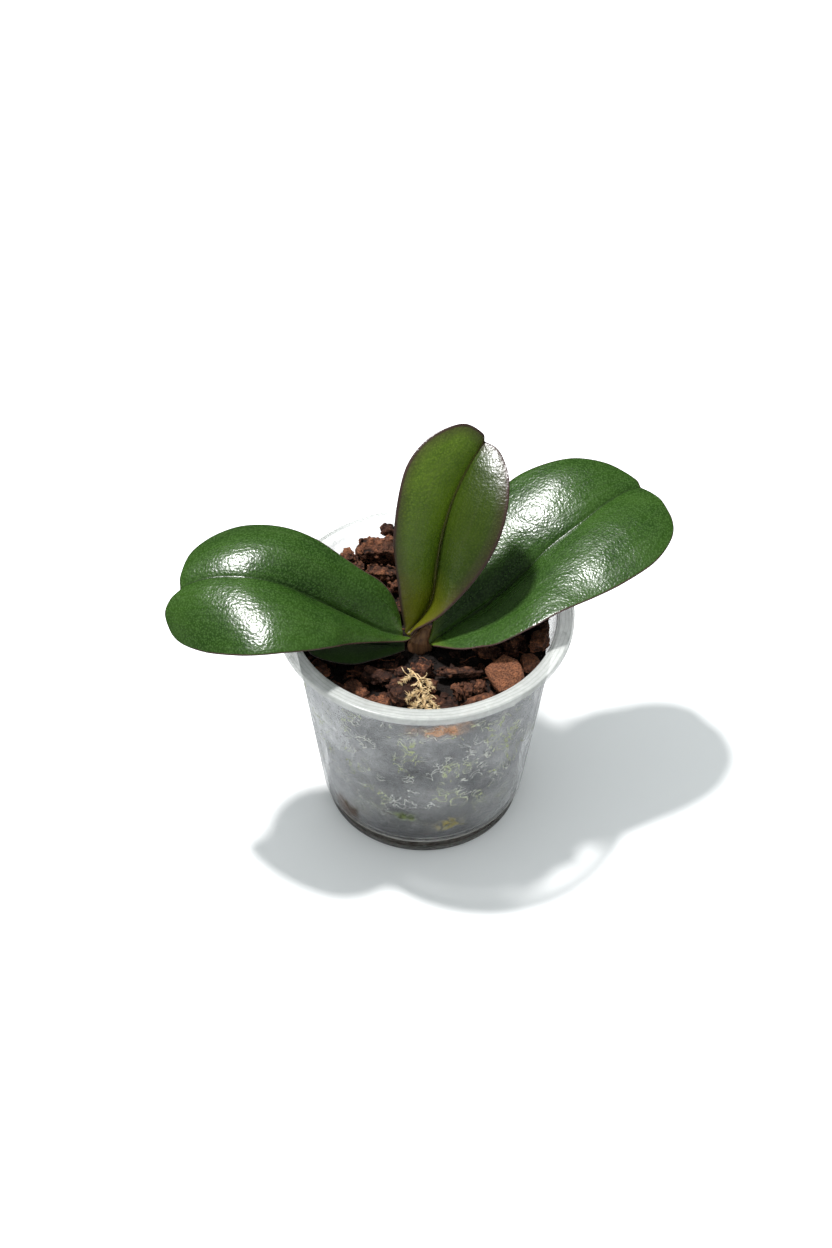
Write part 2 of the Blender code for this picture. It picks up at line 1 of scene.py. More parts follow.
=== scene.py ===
# %% [markdown]
# # A young moth orchid in a clear nursery pot
#
# The orchid is one object at rest: a clear pot, the bark that fills it, and the plant that sits
# in the bark. The frame holds the exact sizes. Every piece made here takes its place from the
# frame, and most pieces stand for the plain node that they replace.

# %% Load the frame
import math
import random

import bpy
import numpy as np
from mathutils import Matrix, Vector, noise


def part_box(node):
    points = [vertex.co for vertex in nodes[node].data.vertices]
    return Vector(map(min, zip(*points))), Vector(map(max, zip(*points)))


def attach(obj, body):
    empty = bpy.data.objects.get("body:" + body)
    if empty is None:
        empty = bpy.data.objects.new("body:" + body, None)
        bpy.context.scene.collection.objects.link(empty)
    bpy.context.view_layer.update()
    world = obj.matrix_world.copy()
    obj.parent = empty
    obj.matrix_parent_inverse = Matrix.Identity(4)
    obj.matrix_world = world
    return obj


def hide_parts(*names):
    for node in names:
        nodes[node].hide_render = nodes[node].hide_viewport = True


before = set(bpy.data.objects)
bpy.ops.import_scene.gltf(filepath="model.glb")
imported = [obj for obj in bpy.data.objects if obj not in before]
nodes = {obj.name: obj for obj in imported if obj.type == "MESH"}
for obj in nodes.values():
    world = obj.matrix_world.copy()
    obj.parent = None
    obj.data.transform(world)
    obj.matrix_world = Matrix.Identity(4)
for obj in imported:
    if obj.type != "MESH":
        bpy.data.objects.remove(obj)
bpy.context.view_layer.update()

print("nodes in the frame:", len(nodes))

# %% [markdown]
# ## Working units and small helpers
#
# Sizes are easiest to read in millimetres, so one factor turns them to metres. Blender's
# operators act on whatever is selected, so each step first selects only the piece it shapes.
# A finished piece keeps its object at the origin, takes one finish, and rides on the one body.

# %% Helpers for pieces
MM = 0.001


def deselect():
    """Leave nothing selected, so that the next operator acts only on what it makes."""
    bpy.ops.object.select_all(action="DESELECT")


def only(piece):
    """Select one piece and make it the active one."""
    deselect()
    piece.select_set(True)
    bpy.context.view_layer.objects.active = piece


def another(model):
    """A copy of a model with its own mesh."""
    copied = model.copy()
    copied.data = model.data.copy()
    bpy.context.scene.collection.objects.link(copied)
    return copied


def apply_modifiers(piece):
    only(piece)
    for step in list(piece.modifiers):
        bpy.ops.object.modifier_apply(modifier=step.name)


def join(pieces, name):
    """Join pieces into one mesh, which takes the name."""
    only(pieces[0])
    for piece in pieces:
        piece.select_set(True)
    bpy.ops.object.join()
    joined = bpy.context.view_layer.objects.active
    joined.name = name
    return joined


def settle(piece):
    """Move the piece's place, turn and scale into its mesh."""
    only(piece)
    bpy.ops.object.transform_apply(location=True, rotation=True, scale=True)


def finish(piece, look, slot, *replaced):
    """Give a piece its look and its place in the frame."""
    piece.data.materials.clear()
    piece.data.materials.append(look)
    piece.data.name = piece.name
    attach(piece, "root")
    if replaced:
        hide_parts(*replaced)


def weld():
    """Merge the doubles of the piece in edit mode, where everything is then selected."""
    bpy.ops.mesh.select_all(action="SELECT")
    bpy.ops.mesh.remove_doubles(threshold=0.01 * MM)


def copy_of_node(node, name):
    """A free copy of a node's shape, with its loose triangles merged into one skin."""
    piece = another(nodes[node])
    piece.parent = None
    for key in list(piece.keys()):
        del piece[key]
    piece.name = name
    only(piece)
    bpy.ops.object.mode_set(mode="EDIT")
    weld()
    bpy.ops.mesh.tris_convert_to_quads()
    bpy.ops.object.mode_set(mode="OBJECT")
    return piece


def points_of(piece):
    """The place and normal of every point, to compare with after a change."""
    return [(vert.co.copy(), vert.normal.copy()) for vert in piece.data.vertices]


def give(piece, key, values):
    """Store one value for each point, for the piece's finish to read."""
    piece.data.attributes.new(key, "FLOAT", "POINT").data.foreach_set("value", values)


def displace(piece, kind, size, strength, middle):
    """Push the surface in and out by a procedural texture, and apply it."""
    texture = bpy.data.textures.new(piece.name + "_" + kind.lower(), kind)
    texture.noise_scale = size * MM
    push = piece.modifiers.new("Push", "DISPLACE")
    push.texture = texture
    push.texture_coords = "LOCAL"
    push.strength = strength * MM
    push.mid_level = middle
    apply_modifiers(piece)


# %% [markdown]
# ## Small helpers for finishes
#
# Each finish is a set of shader nodes. `add` places one node and fills in its settings, `blend`
# mixes two colours by a mask, and `layered` does so for a list of layers from the bottom up.

# %% Helpers for finishes
def new_look(name):
    look = bpy.data.materials.new(name)
    look.use_nodes = True
    tree = look.node_tree
    return look, tree, tree.nodes["Principled BSDF"]


def plug(tree, socket, value):
    """Link a socket, or set it when the value is a plain number or colour."""
    if isinstance(value, bpy.types.NodeSocket):
        tree.links.new(value, socket)
    elif isinstance(value, tuple) and len(value) == 3 and socket.type == "RGBA":
        socket.default_value = (*value, 1.0)
    else:
        socket.default_value = value


def add(tree, kind, inputs=None, **settings):
    made = tree.nodes.new("ShaderNode" + kind)
    for key, value in settings.items():
        setattr(made, key, value)
    for key, value in (inputs or {}).items():
        plug(tree, made.inputs[key], value)
    return made


def blend(tree, factor, first, second):
    made = tree.nodes.new("ShaderNodeMix")
    made.data_type = "RGBA"
    plug(tree, made.inputs[0], factor)
    plug(tree, made.inputs[6], first)
    plug(tree, made.inputs[7], second)
    return made.outputs[2]


def layered(tree, colour, layers):
    """Lay pairs of a mask and a colour over a first colour, from the bottom up."""
    for mask, paint in layers:
        colour = blend(tree, mask, colour, paint)
    return colour


def span(tree, value, low, high, to_low=0.0, to_high=1.0):
    """Stretch a value from one range to another, held at both ends."""
    made = add(tree, "MapRange", {"Value": value, "From Min": low, "From Max": high,
                                  "To Min": to_low, "To Max": to_high})
    return made.outputs[0]


def maths(tree, operation, first, second=0.0):
    made = tree.nodes.new("ShaderNodeMath")
    made.operation = operation
    plug(tree, made.inputs[0], first)
    plug(tree, made.inputs[1], second)
    return made.outputs[0]


def times(tree, first, second):
    return maths(tree, "MULTIPLY", first, second)


def plus(tree, first, second):
    return maths(tree, "ADD", first, second)


def object_place(tree, scale=(1.0, 1.0, 1.0)):
    place = add(tree, "TexCoord").outputs["Object"]
    return add(tree, "Mapping", {"Vector": place, "Scale": scale}).outputs[0]


def grain(tree, place, scale, detail=2.0, roughness=0.5):
    made = add(tree, "TexNoise", {"Vector": place, "Scale": scale, "Detail": detail,
                                  "Roughness": roughness})
    return made.outputs["Fac"]


def attribute(tree, name):
    return add(tree, "Attribute", attribute_name=name).outputs["Fac"]


def bump(tree, height, strength, distance):
    return add(tree, "Bump", {"Height": height, "Strength": strength,
                              "Distance": distance * MM}).outputs[0]


# %% [markdown]
# ## The pot
#
# A clear nursery pot is blown or pressed from thin sheet: a tapered body, a step above the foot
# for stacking, and a rim that turns outwards and down. All of it is round, so it could be spun
# from a profile. Here a ring is extruded from point to point of the profile and resized at each,
# which is the same as turning, and keeps one tidy skin with an even ring of faces.

# %% Sizes of the pot
pot_low, pot_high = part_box("clear_pot")
POT_HEIGHT = (pot_high.z - pot_low.z) / MM
RIM_RADIUS = (pot_high.x - pot_low.x) / 2 / MM
RIM_OVERHANG = 6.4
RIM_DROP = 3.7
RIM_INNER_ROUND = 2.6
RIM_OUTER_ROUND = 0.9
RIM_UNDER_ROUND = 1.4
LIP_ROUND = 0.7
BODY_TAPER = 11.4
FOOT_HEIGHT = 8.8
FOOT_STEP = 2.0
STEP_ROUND = 0.6
WALL = 0.9
BASE_THICKNESS = 1.4
BASE_INNER_ROUND = 1.6
BASE_OUTER_ROUND = 1.4
BASE_RING = 12.0
POT_SIDES = 160
RING_HEIGHTS = (40.0, 75.0)
BODY_FOOT_RADIUS = RIM_RADIUS - RIM_OVERHANG - BODY_TAPER
FOOT_RADIUS = BODY_FOOT_RADIUS - FOOT_STEP
print(f"pot {POT_HEIGHT:.1f} mm high, rim {2 * RIM_RADIUS:.1f} mm across")


def body_radius(height):
    """Outer radius of the tapered wall."""
    share = (height - FOOT_HEIGHT) / (POT_HEIGHT - RIM_DROP - FOOT_HEIGHT)
    return BODY_FOOT_RADIUS + BODY_TAPER * share


def arc(center, radius, start, end, steps):
    """Points on an arc from one angle to another, in degrees."""
    angles = [math.radians(start + (end - start) * i / steps) for i in range(steps + 1)]
    return [(center[0] + radius * math.cos(a), center[1] + radius * math.sin(a)) for a in angles]


# %% Profile of the pot
def pot_profile():
    """From the inside of the floor, up the wall, over the rim and down the outside."""
    inner_foot = FOOT_RADIUS - WALL
    inner_body = BODY_FOOT_RADIUS - WALL
    neck = body_radius(POT_HEIGHT - RIM_INNER_ROUND)
    under = POT_HEIGHT - WALL
    lip = RIM_RADIUS - WALL
    return [
        (inner_foot - BASE_RING, BASE_THICKNESS),
        *arc((inner_foot - BASE_INNER_ROUND, BASE_THICKNESS + BASE_INNER_ROUND),
             BASE_INNER_ROUND, -90, 0, 4),
        (inner_foot, FOOT_HEIGHT - 0.6),
        (inner_foot + 0.3, FOOT_HEIGHT + 0.2),
        (inner_body - 0.3, FOOT_HEIGHT + 1.2),
        (inner_body + 0.1, FOOT_HEIGHT + 2.2),
        *((body_radius(height) - WALL, height) for height in RING_HEIGHTS),
        *arc((neck - WALL + RIM_INNER_ROUND, POT_HEIGHT - RIM_INNER_ROUND),
             RIM_INNER_ROUND, 180, 90, 7),
        (RIM_RADIUS - 2.4, POT_HEIGHT),
        *arc((RIM_RADIUS - RIM_OUTER_ROUND, POT_HEIGHT - RIM_OUTER_ROUND),
             RIM_OUTER_ROUND, 90, 0, 5),
        (RIM_RADIUS, POT_HEIGHT - RIM_DROP + 0.3),
        (RIM_RADIUS - 0.3, POT_HEIGHT - RIM_DROP),
        (lip + 0.2, POT_HEIGHT - RIM_DROP),
        (lip, POT_HEIGHT - RIM_DROP + 0.2),
        *arc((lip - LIP_ROUND, under - LIP_ROUND), LIP_ROUND, 0, 90, 3),
        *arc((neck + RIM_UNDER_ROUND, under - RIM_UNDER_ROUND), RIM_UNDER_ROUND, 90, 180, 4),
        *((body_radius(height), height) for height in reversed(RING_HEIGHTS)),
        (BODY_FOOT_RADIUS + 0.1, FOOT_HEIGHT + 1.2),
        *arc((BODY_FOOT_RADIUS - STEP_ROUND, FOOT_HEIGHT + STEP_ROUND), STEP_ROUND, 0, -90, 4),
        (FOOT_RADIUS + 0.3, FOOT_HEIGHT - 0.1),
        (FOOT_RADIUS, FOOT_HEIGHT - 0.5),
        (FOOT_RADIUS, BASE_OUTER_ROUND + 0.2),
        *arc((FOOT_RADIUS - BASE_OUTER_ROUND, BASE_OUTER_ROUND), BASE_OUTER_ROUND, 0, -90, 4),
        (FOOT_RADIUS - BASE_RING, 0.0),
    ]


# %% Extrude the pot, ring by ring
def turned(name, profile, sides):
    """Extrude a ring along a profile of (radius, height) points, and close both ends."""
    radius, height = profile[0]
    deselect()
    bpy.ops.mesh.primitive_circle_add(vertices=sides, radius=radius * MM, location=(0, 0, 0))
    piece = bpy.context.active_object
    piece.name = name
    bpy.ops.object.mode_set(mode="EDIT")
    bpy.ops.transform.translate(value=(0, 0, height * MM))
    for next_radius, next_height in profile[1:]:
        bpy.ops.mesh.extrude_edges_move(
            TRANSFORM_OT_translate={"value": (0, 0, (next_height - height) * MM)})
        share = next_radius / radius
        bpy.ops.transform.resize(value=(share, share, 1.0))
        radius, height = next_radius, next_height
    bpy.ops.mesh.select_all(action="SELECT")
    bpy.ops.mesh.fill_holes(sides=0)
    bpy.ops.mesh.normals_make_consistent(inside=False)
    bpy.ops.object.mode_set(mode="OBJECT")
    return piece


pot = turned("orchid_pot", pot_profile(), POT_SIDES)
print("pot faces:", len(pot.data.polygons))

# %% [markdown]
# Water has to leave the pot. A ring of round holes goes through the floor, and small slots go
# through the foot at floor level. Holes are easiest to cut with a Boolean and simple cutters.

# %% Cut the drain holes
DRAIN_COUNT = 8
DRAIN_RADIUS = 3.0
DRAIN_RING_RADIUS = 27.0
SLOT_COUNT = 8
SLOT_WIDTH = 1.8
SLOT_HEIGHT = 1.6
SLOT_RISE = 1.5
SLOT_TURN = 0.03


def cutter(at_angle, radius, height, size, round_hole):
    place = (radius * math.cos(at_angle) * MM, radius * math.sin(at_angle) * MM, height * MM)
    if round_hole:
        bpy.ops.mesh.primitive_cylinder_add(vertices=24, radius=size[0] * MM, depth=size[2] * MM,
                                            location=place)
    else:
        bpy.ops.mesh.primitive_cube_add(size=1.0, location=place, rotation=(0, 0, at_angle))
        bpy.context.active_object.scale = [side * MM for side in size]
    made = bpy.context.active_object
    settle(made)
    return made


cutters = [cutter(2 * math.pi * (i + 0.5) / DRAIN_COUNT, DRAIN_RING_RADIUS, BASE_THICKNESS / 2,
                  (DRAIN_RADIUS, DRAIN_RADIUS, 4 * BASE_THICKNESS), True)
           for i in range(DRAIN_COUNT)]
cutters += [cutter(2 * math.pi * (i + SLOT_TURN) / SLOT_COUNT - math.pi / 2, FOOT_RADIUS,
                   BASE_THICKNESS + SLOT_RISE + SLOT_HEIGHT / 2,
                   (8 * WALL, SLOT_WIDTH, SLOT_HEIGHT), False)
            for i in range(SLOT_COUNT)]
all_cuts = join(cutters, "drain_cuts")
holes = pot.modifiers.new("Drain", "BOOLEAN")
holes.object = all_cuts
apply_modifiers(pot)
bpy.data.objects.remove(all_cuts, do_unlink=True)
only(pot)
bpy.ops.object.shade_smooth_by_angle(angle=math.radians(35))
print("pot faces after the cuts:", len(pot.data.polygons))

# %% [markdown]
# ## The finish of the pot
#
# The plastic is clear but has grown milky with use: fine scratches, dried mineral specks and
# thin trails of moisture and algae cloud it. A cloudy clear skin could be made with
# transmission, which is slow and dark inside a pot full of bark. Mixing a pale glossy plastic
# with see-through by the Alpha value is quick, and a mask can make each speck and trail denser.
# Stains are soft balls placed on the wall, with edges broken up by noise.

# %% A stain as a node group
def stain_group():
    """Puts out a mask that is 1 at a point and fades to 0 at a distance, with a ragged edge."""
    group = bpy.data.node_groups.new("stain", "ShaderNodeTree")
    for key in ("Place", "Centre", "Reach"):
        group.interface.new_socket(key, in_out="INPUT", socket_type="NodeSocketVector")
    group.interface.new_socket("Mask", in_out="OUTPUT", socket_type="NodeSocketFloat")
    start = group.nodes.new("NodeGroupInput")
    end = group.nodes.new("NodeGroupOutput")
    away = add(group, "VectorMath", {0: start.outputs["Place"], 1: start.outputs["Centre"]},
               operation="SUBTRACT").outputs[0]
    near = add(group, "VectorMath", {0: away, 1: start.outputs["Reach"]},
               operation="DIVIDE").outputs[0]
    length = add(group, "VectorMath", {0: near}, operation="LENGTH").outputs["Value"]
    ragged = grain(group, start.outputs["Place"], 260.0, 3.0)
    rough = plus(group, length, span(group, ragged, 0.25, 0.75, -0.55, 0.55))
    plug(group, end.inputs["Mask"], span(group, rough, 1.0, 0.35))
    return group


STAIN = stain_group()
print("stain group sockets:", [face.name for face in STAIN.interface.items_tree])


def stain(tree, place, centre, reach):
    made = tree.nodes.new("ShaderNodeGroup")
    made.node_tree = STAIN
    plug(tree, made.inputs["Place"], place)
    made.inputs["Centre"].default_value = [value * MM for value in centre]
    made.inputs["Reach"].default_value = [value * MM for value in reach]
    return made.outputs["Mask"]


# %% Marks on the pot
STAIN_PLACES = {
    # centre and reach of each stain, in millimetres
    "crowded": ((22.0, -46.0, 72.0), (26.0, 20.0, 16.0)),
    "algae": ((-7.6, -45.9, 28.3), (9.0, 4.0, 4.0)),
    "rust": ((8.8, -53.3, 92.0), (17.0, 6.0, 5.0)),
    "tannin": ((11.6, -44.1, 21.0), (11.0, 5.0, 5.0)),
    "brown": ((-33.0, -31.0, 16.0), (9.0, 9.0, 8.0)),
}
TRAIL_HALF_WIDTH = (0.026, 0.012)
TRAIL_GATHERING = 0.1
print("stains on the pot:", ", ".join(STAIN_PLACES))


def band(tree, distance, low, high, to_low=0.0, to_high=1.0):
    """Stretch a distance between two places given in millimetres."""
    return span(tree, distance, low * MM, high * MM, to_low, to_high)


def pot_masks(tree, place, height):
    """A mask for each stain, for the trails and specks, and for the rim, step and foot."""
    masks = {key: stain(tree, place, *where) for key, where in STAIN_PLACES.items()}
    masks["spots"] = span(tree, grain(tree, place, 420.0, 1.0), 0.50, 0.56)
    masks["tannin"] = times(tree, masks["tannin"], masks["spots"])
    masks["rim"] = band(tree, height, POT_HEIGHT - 4.0, POT_HEIGHT - 2.5)
    masks["foot"] = band(tree, height, FOOT_HEIGHT + 0.2, FOOT_HEIGHT - 1.3)
    masks["step"] = times(tree, band(tree, height, FOOT_HEIGHT - 0.3, FOOT_HEIGHT + 0.4),
                          band(tree, height, FOOT_HEIGHT + 2.0, FOOT_HEIGHT + 1.2))
    below_rim = band(tree, height, POT_HEIGHT - 12.0, POT_HEIGHT - 15.0)
    off_middle = maths(tree, "SUBTRACT", grain(tree, place, 230.0, 1.0, 0.4), 0.5)
    trails = span(tree, maths(tree, "ABSOLUTE", off_middle), *TRAIL_HALF_WIDTH)
    patches = plus(tree, grain(tree, place, 95.0, 1.0),
                   times(tree, masks["crowded"], TRAIL_GATHERING))
    for share in (span(tree, patches, 0.49, 0.52), below_rim, band(tree, height, 9.0, 40.0)):
        trails = times(tree, trails, share)
    specks = span(tree, grain(tree, place, 900.0, 1.0), 0.60, 0.66)
    for share in (below_rim, band(tree, height, 20.0, 50.0, 0.4)):
        specks = times(tree, specks, share)
    masks["trails"] = trails
    masks["specks"] = specks
    return masks


# %% Colour of the pot
def pot_colour(tree, place, masks, haze, grit, rings):
    grubby = span(tree, grit, 0.45, 0.60)
    mossy = span(tree, grain(tree, place, 60.0, 1.0), 0.45, 0.55)
    milk = blend(tree, span(tree, haze, 0.3, 0.7), (0.46, 0.47, 0.49), (0.72, 0.73, 0.74))
    turned_rim = blend(tree, span(tree, rings, 0.2, 0.95), (0.47, 0.48, 0.46), (0.39, 0.40, 0.38))
    return layered(tree, milk, (
        (masks["rim"], turned_rim),
        (masks["foot"], blend(tree, grubby, (0.09, 0.08, 0.07), (0.03, 0.02, 0.012))),
        (masks["step"], (0.75, 0.74, 0.70)),
        (times(tree, masks["brown"], 0.8), (0.16, 0.08, 0.04)),
        (masks["tannin"], (0.30, 0.24, 0.04)),
        (masks["algae"], blend(tree, masks["spots"], (0.07, 0.09, 0.03), (0.20, 0.26, 0.07))),
        (masks["rust"], blend(tree, grubby, (0.66, 0.40, 0.25), (0.36, 0.16, 0.08))),
        (masks["trails"], blend(tree, mossy, (0.48, 0.49, 0.45), (0.35, 0.39, 0.20))),
        (masks["specks"], (0.34, 0.34, 0.33)),
    ))


# %% [markdown]
# Alpha says how much of the plastic's own colour covers what is behind it. Haze and the grazing
# view of the curved sides add a little each, a paler cover on the left is painted light where the
# lamp falls on that side, and every mark sets a least value. The rim's cover is thinner on its
# left, painted light that lifts the leaf's shadow off the rim. The real wall also bends the lamp's
# light, which a see-through skin can't do. Near the top it would cast no shadow, so there it is
# made nearly solid for shadow rays only.

# %% Cover of the pot
MARK_COVER = {"trails": 0.72, "specks": 0.32, "algae": 0.55, "rust": 0.50,
              "tannin": 0.60, "brown": 0.25, "foot": 0.45, "step": 0.30}


def pot_cover(tree, axes, masks, haze, grit):
    right, back, height = (axes.outputs[key] for key in "XYZ")
    milk = plus(tree, span(tree, haze, 0.25, 0.75, 0.03, 0.19),
                span(tree, grit, 0.35, 0.65, -0.02, 0.04))
    milk = times(tree, milk, band(tree, height, 15.0, 70.0, 0.12, 1.50))
    # Painted light: a paler cover on the left side of the wall, where the lamp falls on it.
    milk = plus(tree, milk, band(tree, right, -26.0, -52.0, 0.0, 0.26))
    graze = add(tree, "LayerWeight", {"Blend": 0.5}).outputs["Facing"]
    graze = times(tree, maths(tree, "POWER", graze, 3.5), 0.6)
    rim_cover = times(tree, masks["rim"], band(tree, back, 45.0, 0.0, 0.02, 0.42))
    # Painted light: thinner cover on the rim's left lets the pale floor through over the leaf's
    # shadow.
    rim_cover = times(tree, rim_cover, band(tree, right, -46.0, -34.0, 0.30))
    cover = plus(tree, plus(tree, milk, graze), rim_cover)
    for key, share in MARK_COVER.items():
        cover = maths(tree, "MAXIMUM", cover, times(tree, masks[key], share))
    in_shadow = add(tree, "LightPath").outputs["Is Shadow Ray"]
    bent_light = times(tree, in_shadow, band(tree, height, POT_HEIGHT - 29.0, POT_HEIGHT - 17.0))
    bent_light = times(tree, bent_light, band(tree, right, 30.0, 5.0, 0.25, 0.95))
    return maths(tree, "MAXIMUM", cover, bent_light)


# %% The milky plastic
RIM_RINGS = 3900.0
RING_WOBBLE = 1.0


def milky_plastic():
    look, tree, shader = new_look("milky_plastic")
    place = object_place(tree)
    axes = add(tree, "SeparateXYZ", {"Vector": place})
    haze = grain(tree, place, 38.0, 3.0, 0.6)
    grit = grain(tree, place, 420.0, 3.0, 0.7)
    across = add(tree, "VectorMath", {0: place, 1: (1.0, 1.0, 0.0)}, operation="MULTIPLY")
    radius = add(tree, "VectorMath", {0: across.outputs[0]}, operation="LENGTH").outputs["Value"]
    wobble = span(tree, haze, 0.2, 0.8, -RING_WOBBLE * MM, RING_WOBBLE * MM)
    rings = maths(tree, "SINE", times(tree, plus(tree, radius, wobble), RIM_RINGS))
    masks = pot_masks(tree, place, axes.outputs["Z"])
    plug(tree, shader.inputs["Base Color"], pot_colour(tree, place, masks, haze, grit, rings))
    plug(tree, shader.inputs["Alpha"], pot_cover(tree, axes, masks, haze, grit))
    plug(tree, shader.inputs["Roughness"], span(tree, haze, 0.3, 0.7, 0.16, 0.30))
    shader.inputs["IOR"].default_value = 1.46
    scratches = grain(tree, object_place(tree, (1.0, 1.0, 0.15)), 700.0, 2.0)
    plug(tree, shader.inputs["Normal"], bump(tree, plus(tree, rings, scratches), 0.25, 0.08))
    return look


finish(pot, milky_plastic(), "clear_plastic", "clear_pot")
print("pot finish nodes:", len(pot.active_material.node_tree.nodes))

# %% [markdown]
# ## Bark
#
# Orchids grow in chunks of pine bark. Each chunk breaks in flakes, so its faces are rough and
# its edges show layers. One finish serves every chunk: red-brown, with paler torn patches, and
# with painted shade that darkens the pits. The pattern runs through space, so no two chunks match.
# Two values stored with each point of a piece help it: "tone" says how pale its chunk is, and a
# low tone also paints shade, and "pit" how far the point was pressed in when the surface was
# roughened, which sets how dark the painted shade in the pits is.

# %% The bark finish
def bark_look(name, deep, mid, pale):
    look, tree, shader = new_look(name)
    place = object_place(tree)
    tone = attribute(tree, "tone")
    pit = attribute(tree, "pit")
    patches = grain(tree, place, 85.0, 2.0)
    flakes = grain(tree, object_place(tree, (1.0, 1.0, 3.5)), 420.0, 5.0, 0.65)
    fine = grain(tree, place, 1500.0, 3.0, 0.6)
    colour = layered(tree, deep, (
        (span(tree, patches, 0.35, 0.65), mid),
        (span(tree, flakes, 0.52, 0.72), pale),
        (span(tree, flakes, 0.46, 0.34), (0.010, 0.006, 0.005)),
        (span(tree, tone, 0.45, 1.0, 0.0, 0.75), pale),
        # A low tone darkens: the random dark chunks, and the painted shade on top of the packed
        # bark.
        (span(tree, tone, 0.45, 0.0, 0.0, 0.80), (0.012, 0.007, 0.005)),
        (span(tree, fine, 0.58, 0.42, 0.0, 0.70), deep),
        # Painted shade: the deeper a point was pressed in, the darker it is.
        (span(tree, pit, 0.20, 0.8, 0.0, 0.92), (0.007, 0.004, 0.003)),
        (span(tree, pit, -0.15, -0.6, 0.0, 0.45), pale),
    ))
    plug(tree, shader.inputs["Base Color"], colour)
    plug(tree, shader.inputs["Roughness"], span(tree, flakes, 0.3, 0.7, 0.5, 0.92))
    shader.inputs["Specular IOR Level"].default_value = 0.25
    relief = plus(tree, flakes, times(tree, fine, 0.5))
    plug(tree, shader.inputs["Normal"], bump(tree, relief, 0.9, 1.3))
    return look


CHUNK_BARK = bark_look("chunk_bark", deep=(0.028, 0.010, 0.006), mid=(0.115, 0.040, 0.020),
                       pale=(0.310, 0.120, 0.055))
# The packed bark takes darker copies of the bark colours, as painted shade under and between the
# chunks.
SHADED_PACKED_BARK = bark_look("packed_bark", deep=(0.014, 0.007, 0.005), mid=(0.050, 0.022, 0.013),
                        pale=(0.150, 0.080, 0.045))
print("bark finishes:", CHUNK_BARK.name, SHADED_PACKED_BARK.name)


# %% Tone and pits
def give_tone(piece, tones):
    """Store each point's tone, from 0 for dark to 1 for freshly broken; a low tone can be painted
    shade.
    """
    give(piece, "tone", tones)


def give_pits(piece, before, deepest):
    """Store how far each point was pressed in, from -1 on a raised edge to 1 in a deep pit."""
    pressed = [(place - vert.co).dot(normal) / (deepest * MM)
               for vert, (place, normal) in zip(piece.data.vertices, before)]
    give(piece, "pit", [min(1.0, max(-1.0, value)) for value in pressed])


# %% [markdown]
# The imported bark fills the pot. Its node is a smooth plug, so a copy is remeshed into small even
# faces and pressed in by a cell pattern: each cell reads as one chunk, and the seams between
# cells as the gaps. Its top is painted near black and its seams darker still, as painted shade
# between the chunks. It is only ever pushed inwards, so it stays off the wall of the pot.

# %% The imported bark
MIX_STEP = 1.5
CELL_SIZE = 9
CELL_DEPTH = 2.0
MIX_TOP_DEPTH = 6
packed = copy_of_node("bark_mix", "packed_bark")
packed.data.remesh_voxel_size = MIX_STEP * MM
bpy.ops.object.voxel_remesh()
cells = bpy.data.textures.new("chunks", "VORONOI")
cells.noise_scale = CELL_SIZE * MM
cells.distance_metric = "DISTANCE"
cells.noise_intensity = 1.2
before = points_of(packed)
push = packed.modifiers.new("Chunks", "DISPLACE")
push.texture = cells
push.texture_coords = "LOCAL"
push.strength = -CELL_DEPTH * MM
push.mid_level = 0.0
apply_modifiers(packed)
displace(packed, "CLOUDS", 2.0, 0.7, 1.0)
give_pits(packed, before, 1.8)
mix_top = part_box("bark_mix")[1].z - MIX_TOP_DEPTH * MM
# Painted shade: the top layer takes the darkest tone, near black, for the shade between the
# chunks.
give_tone(packed, [0.05 if vert.co.z > mix_top else 0.35 for vert in packed.data.vertices])
only(packed)
bpy.ops.object.shade_flat()
finish(packed, SHADED_PACKED_BARK, "bark", "bark_mix")
print("packed bark faces:", len(packed.data.polygons))

# %% [markdown]
# The loose chunks on top keep the places, sizes and turns of their nodes. Each copy is cut finer
# without smoothing, so it stays blocky like broken bark, and three layers of noise wear its
# faces. Two chunks are worn round: they are smoothed, grown back to size and roughened less.
# Chunks in the back half are more ragged than those in front.

# %% The loose chunks
SMOOTH_CHUNKS = (11, 16)
PALE_CHUNKS = {1: 0.55, 2: 0.6, 11: 0.85, 12: 0.6, 13: 0.6, 14: 0.55, 16: 0.7, 17: 0.65, 22: 0.6}
CHUNK_CUTS = 3
BACK_RAGGED = 1.4
CHUNK_WEAR = (
    # texture, size, strength on a blocky chunk, strength on a smooth one, middle
    ("CLOUDS", 5.0, 2.6, 1.2, 0.5),
    ("VORONOI", 2.6, -1.3, -0.3, 0.35),
    ("CLOUDS", 0.9, 0.9, 0.25, 0.5),
)


def fill_node(piece, node):
    """Grow a piece that a subdivision has shrunk until it is as large as its node again."""
    low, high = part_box(node)
    spread = [[vert.co[axis] for vert in piece.data.vertices] for axis in range(3)]
    for axis in range(3):
        middle = (min(spread[axis]) + max(spread[axis])) / 2
        share = (high[axis] - low[axis]) / (max(spread[axis]) - min(spread[axis]))
        for vert in piece.data.vertices:
            vert.co[axis] = (low[axis] + high[axis]) / 2 + (vert.co[axis] - middle) * share
    piece.data.update()


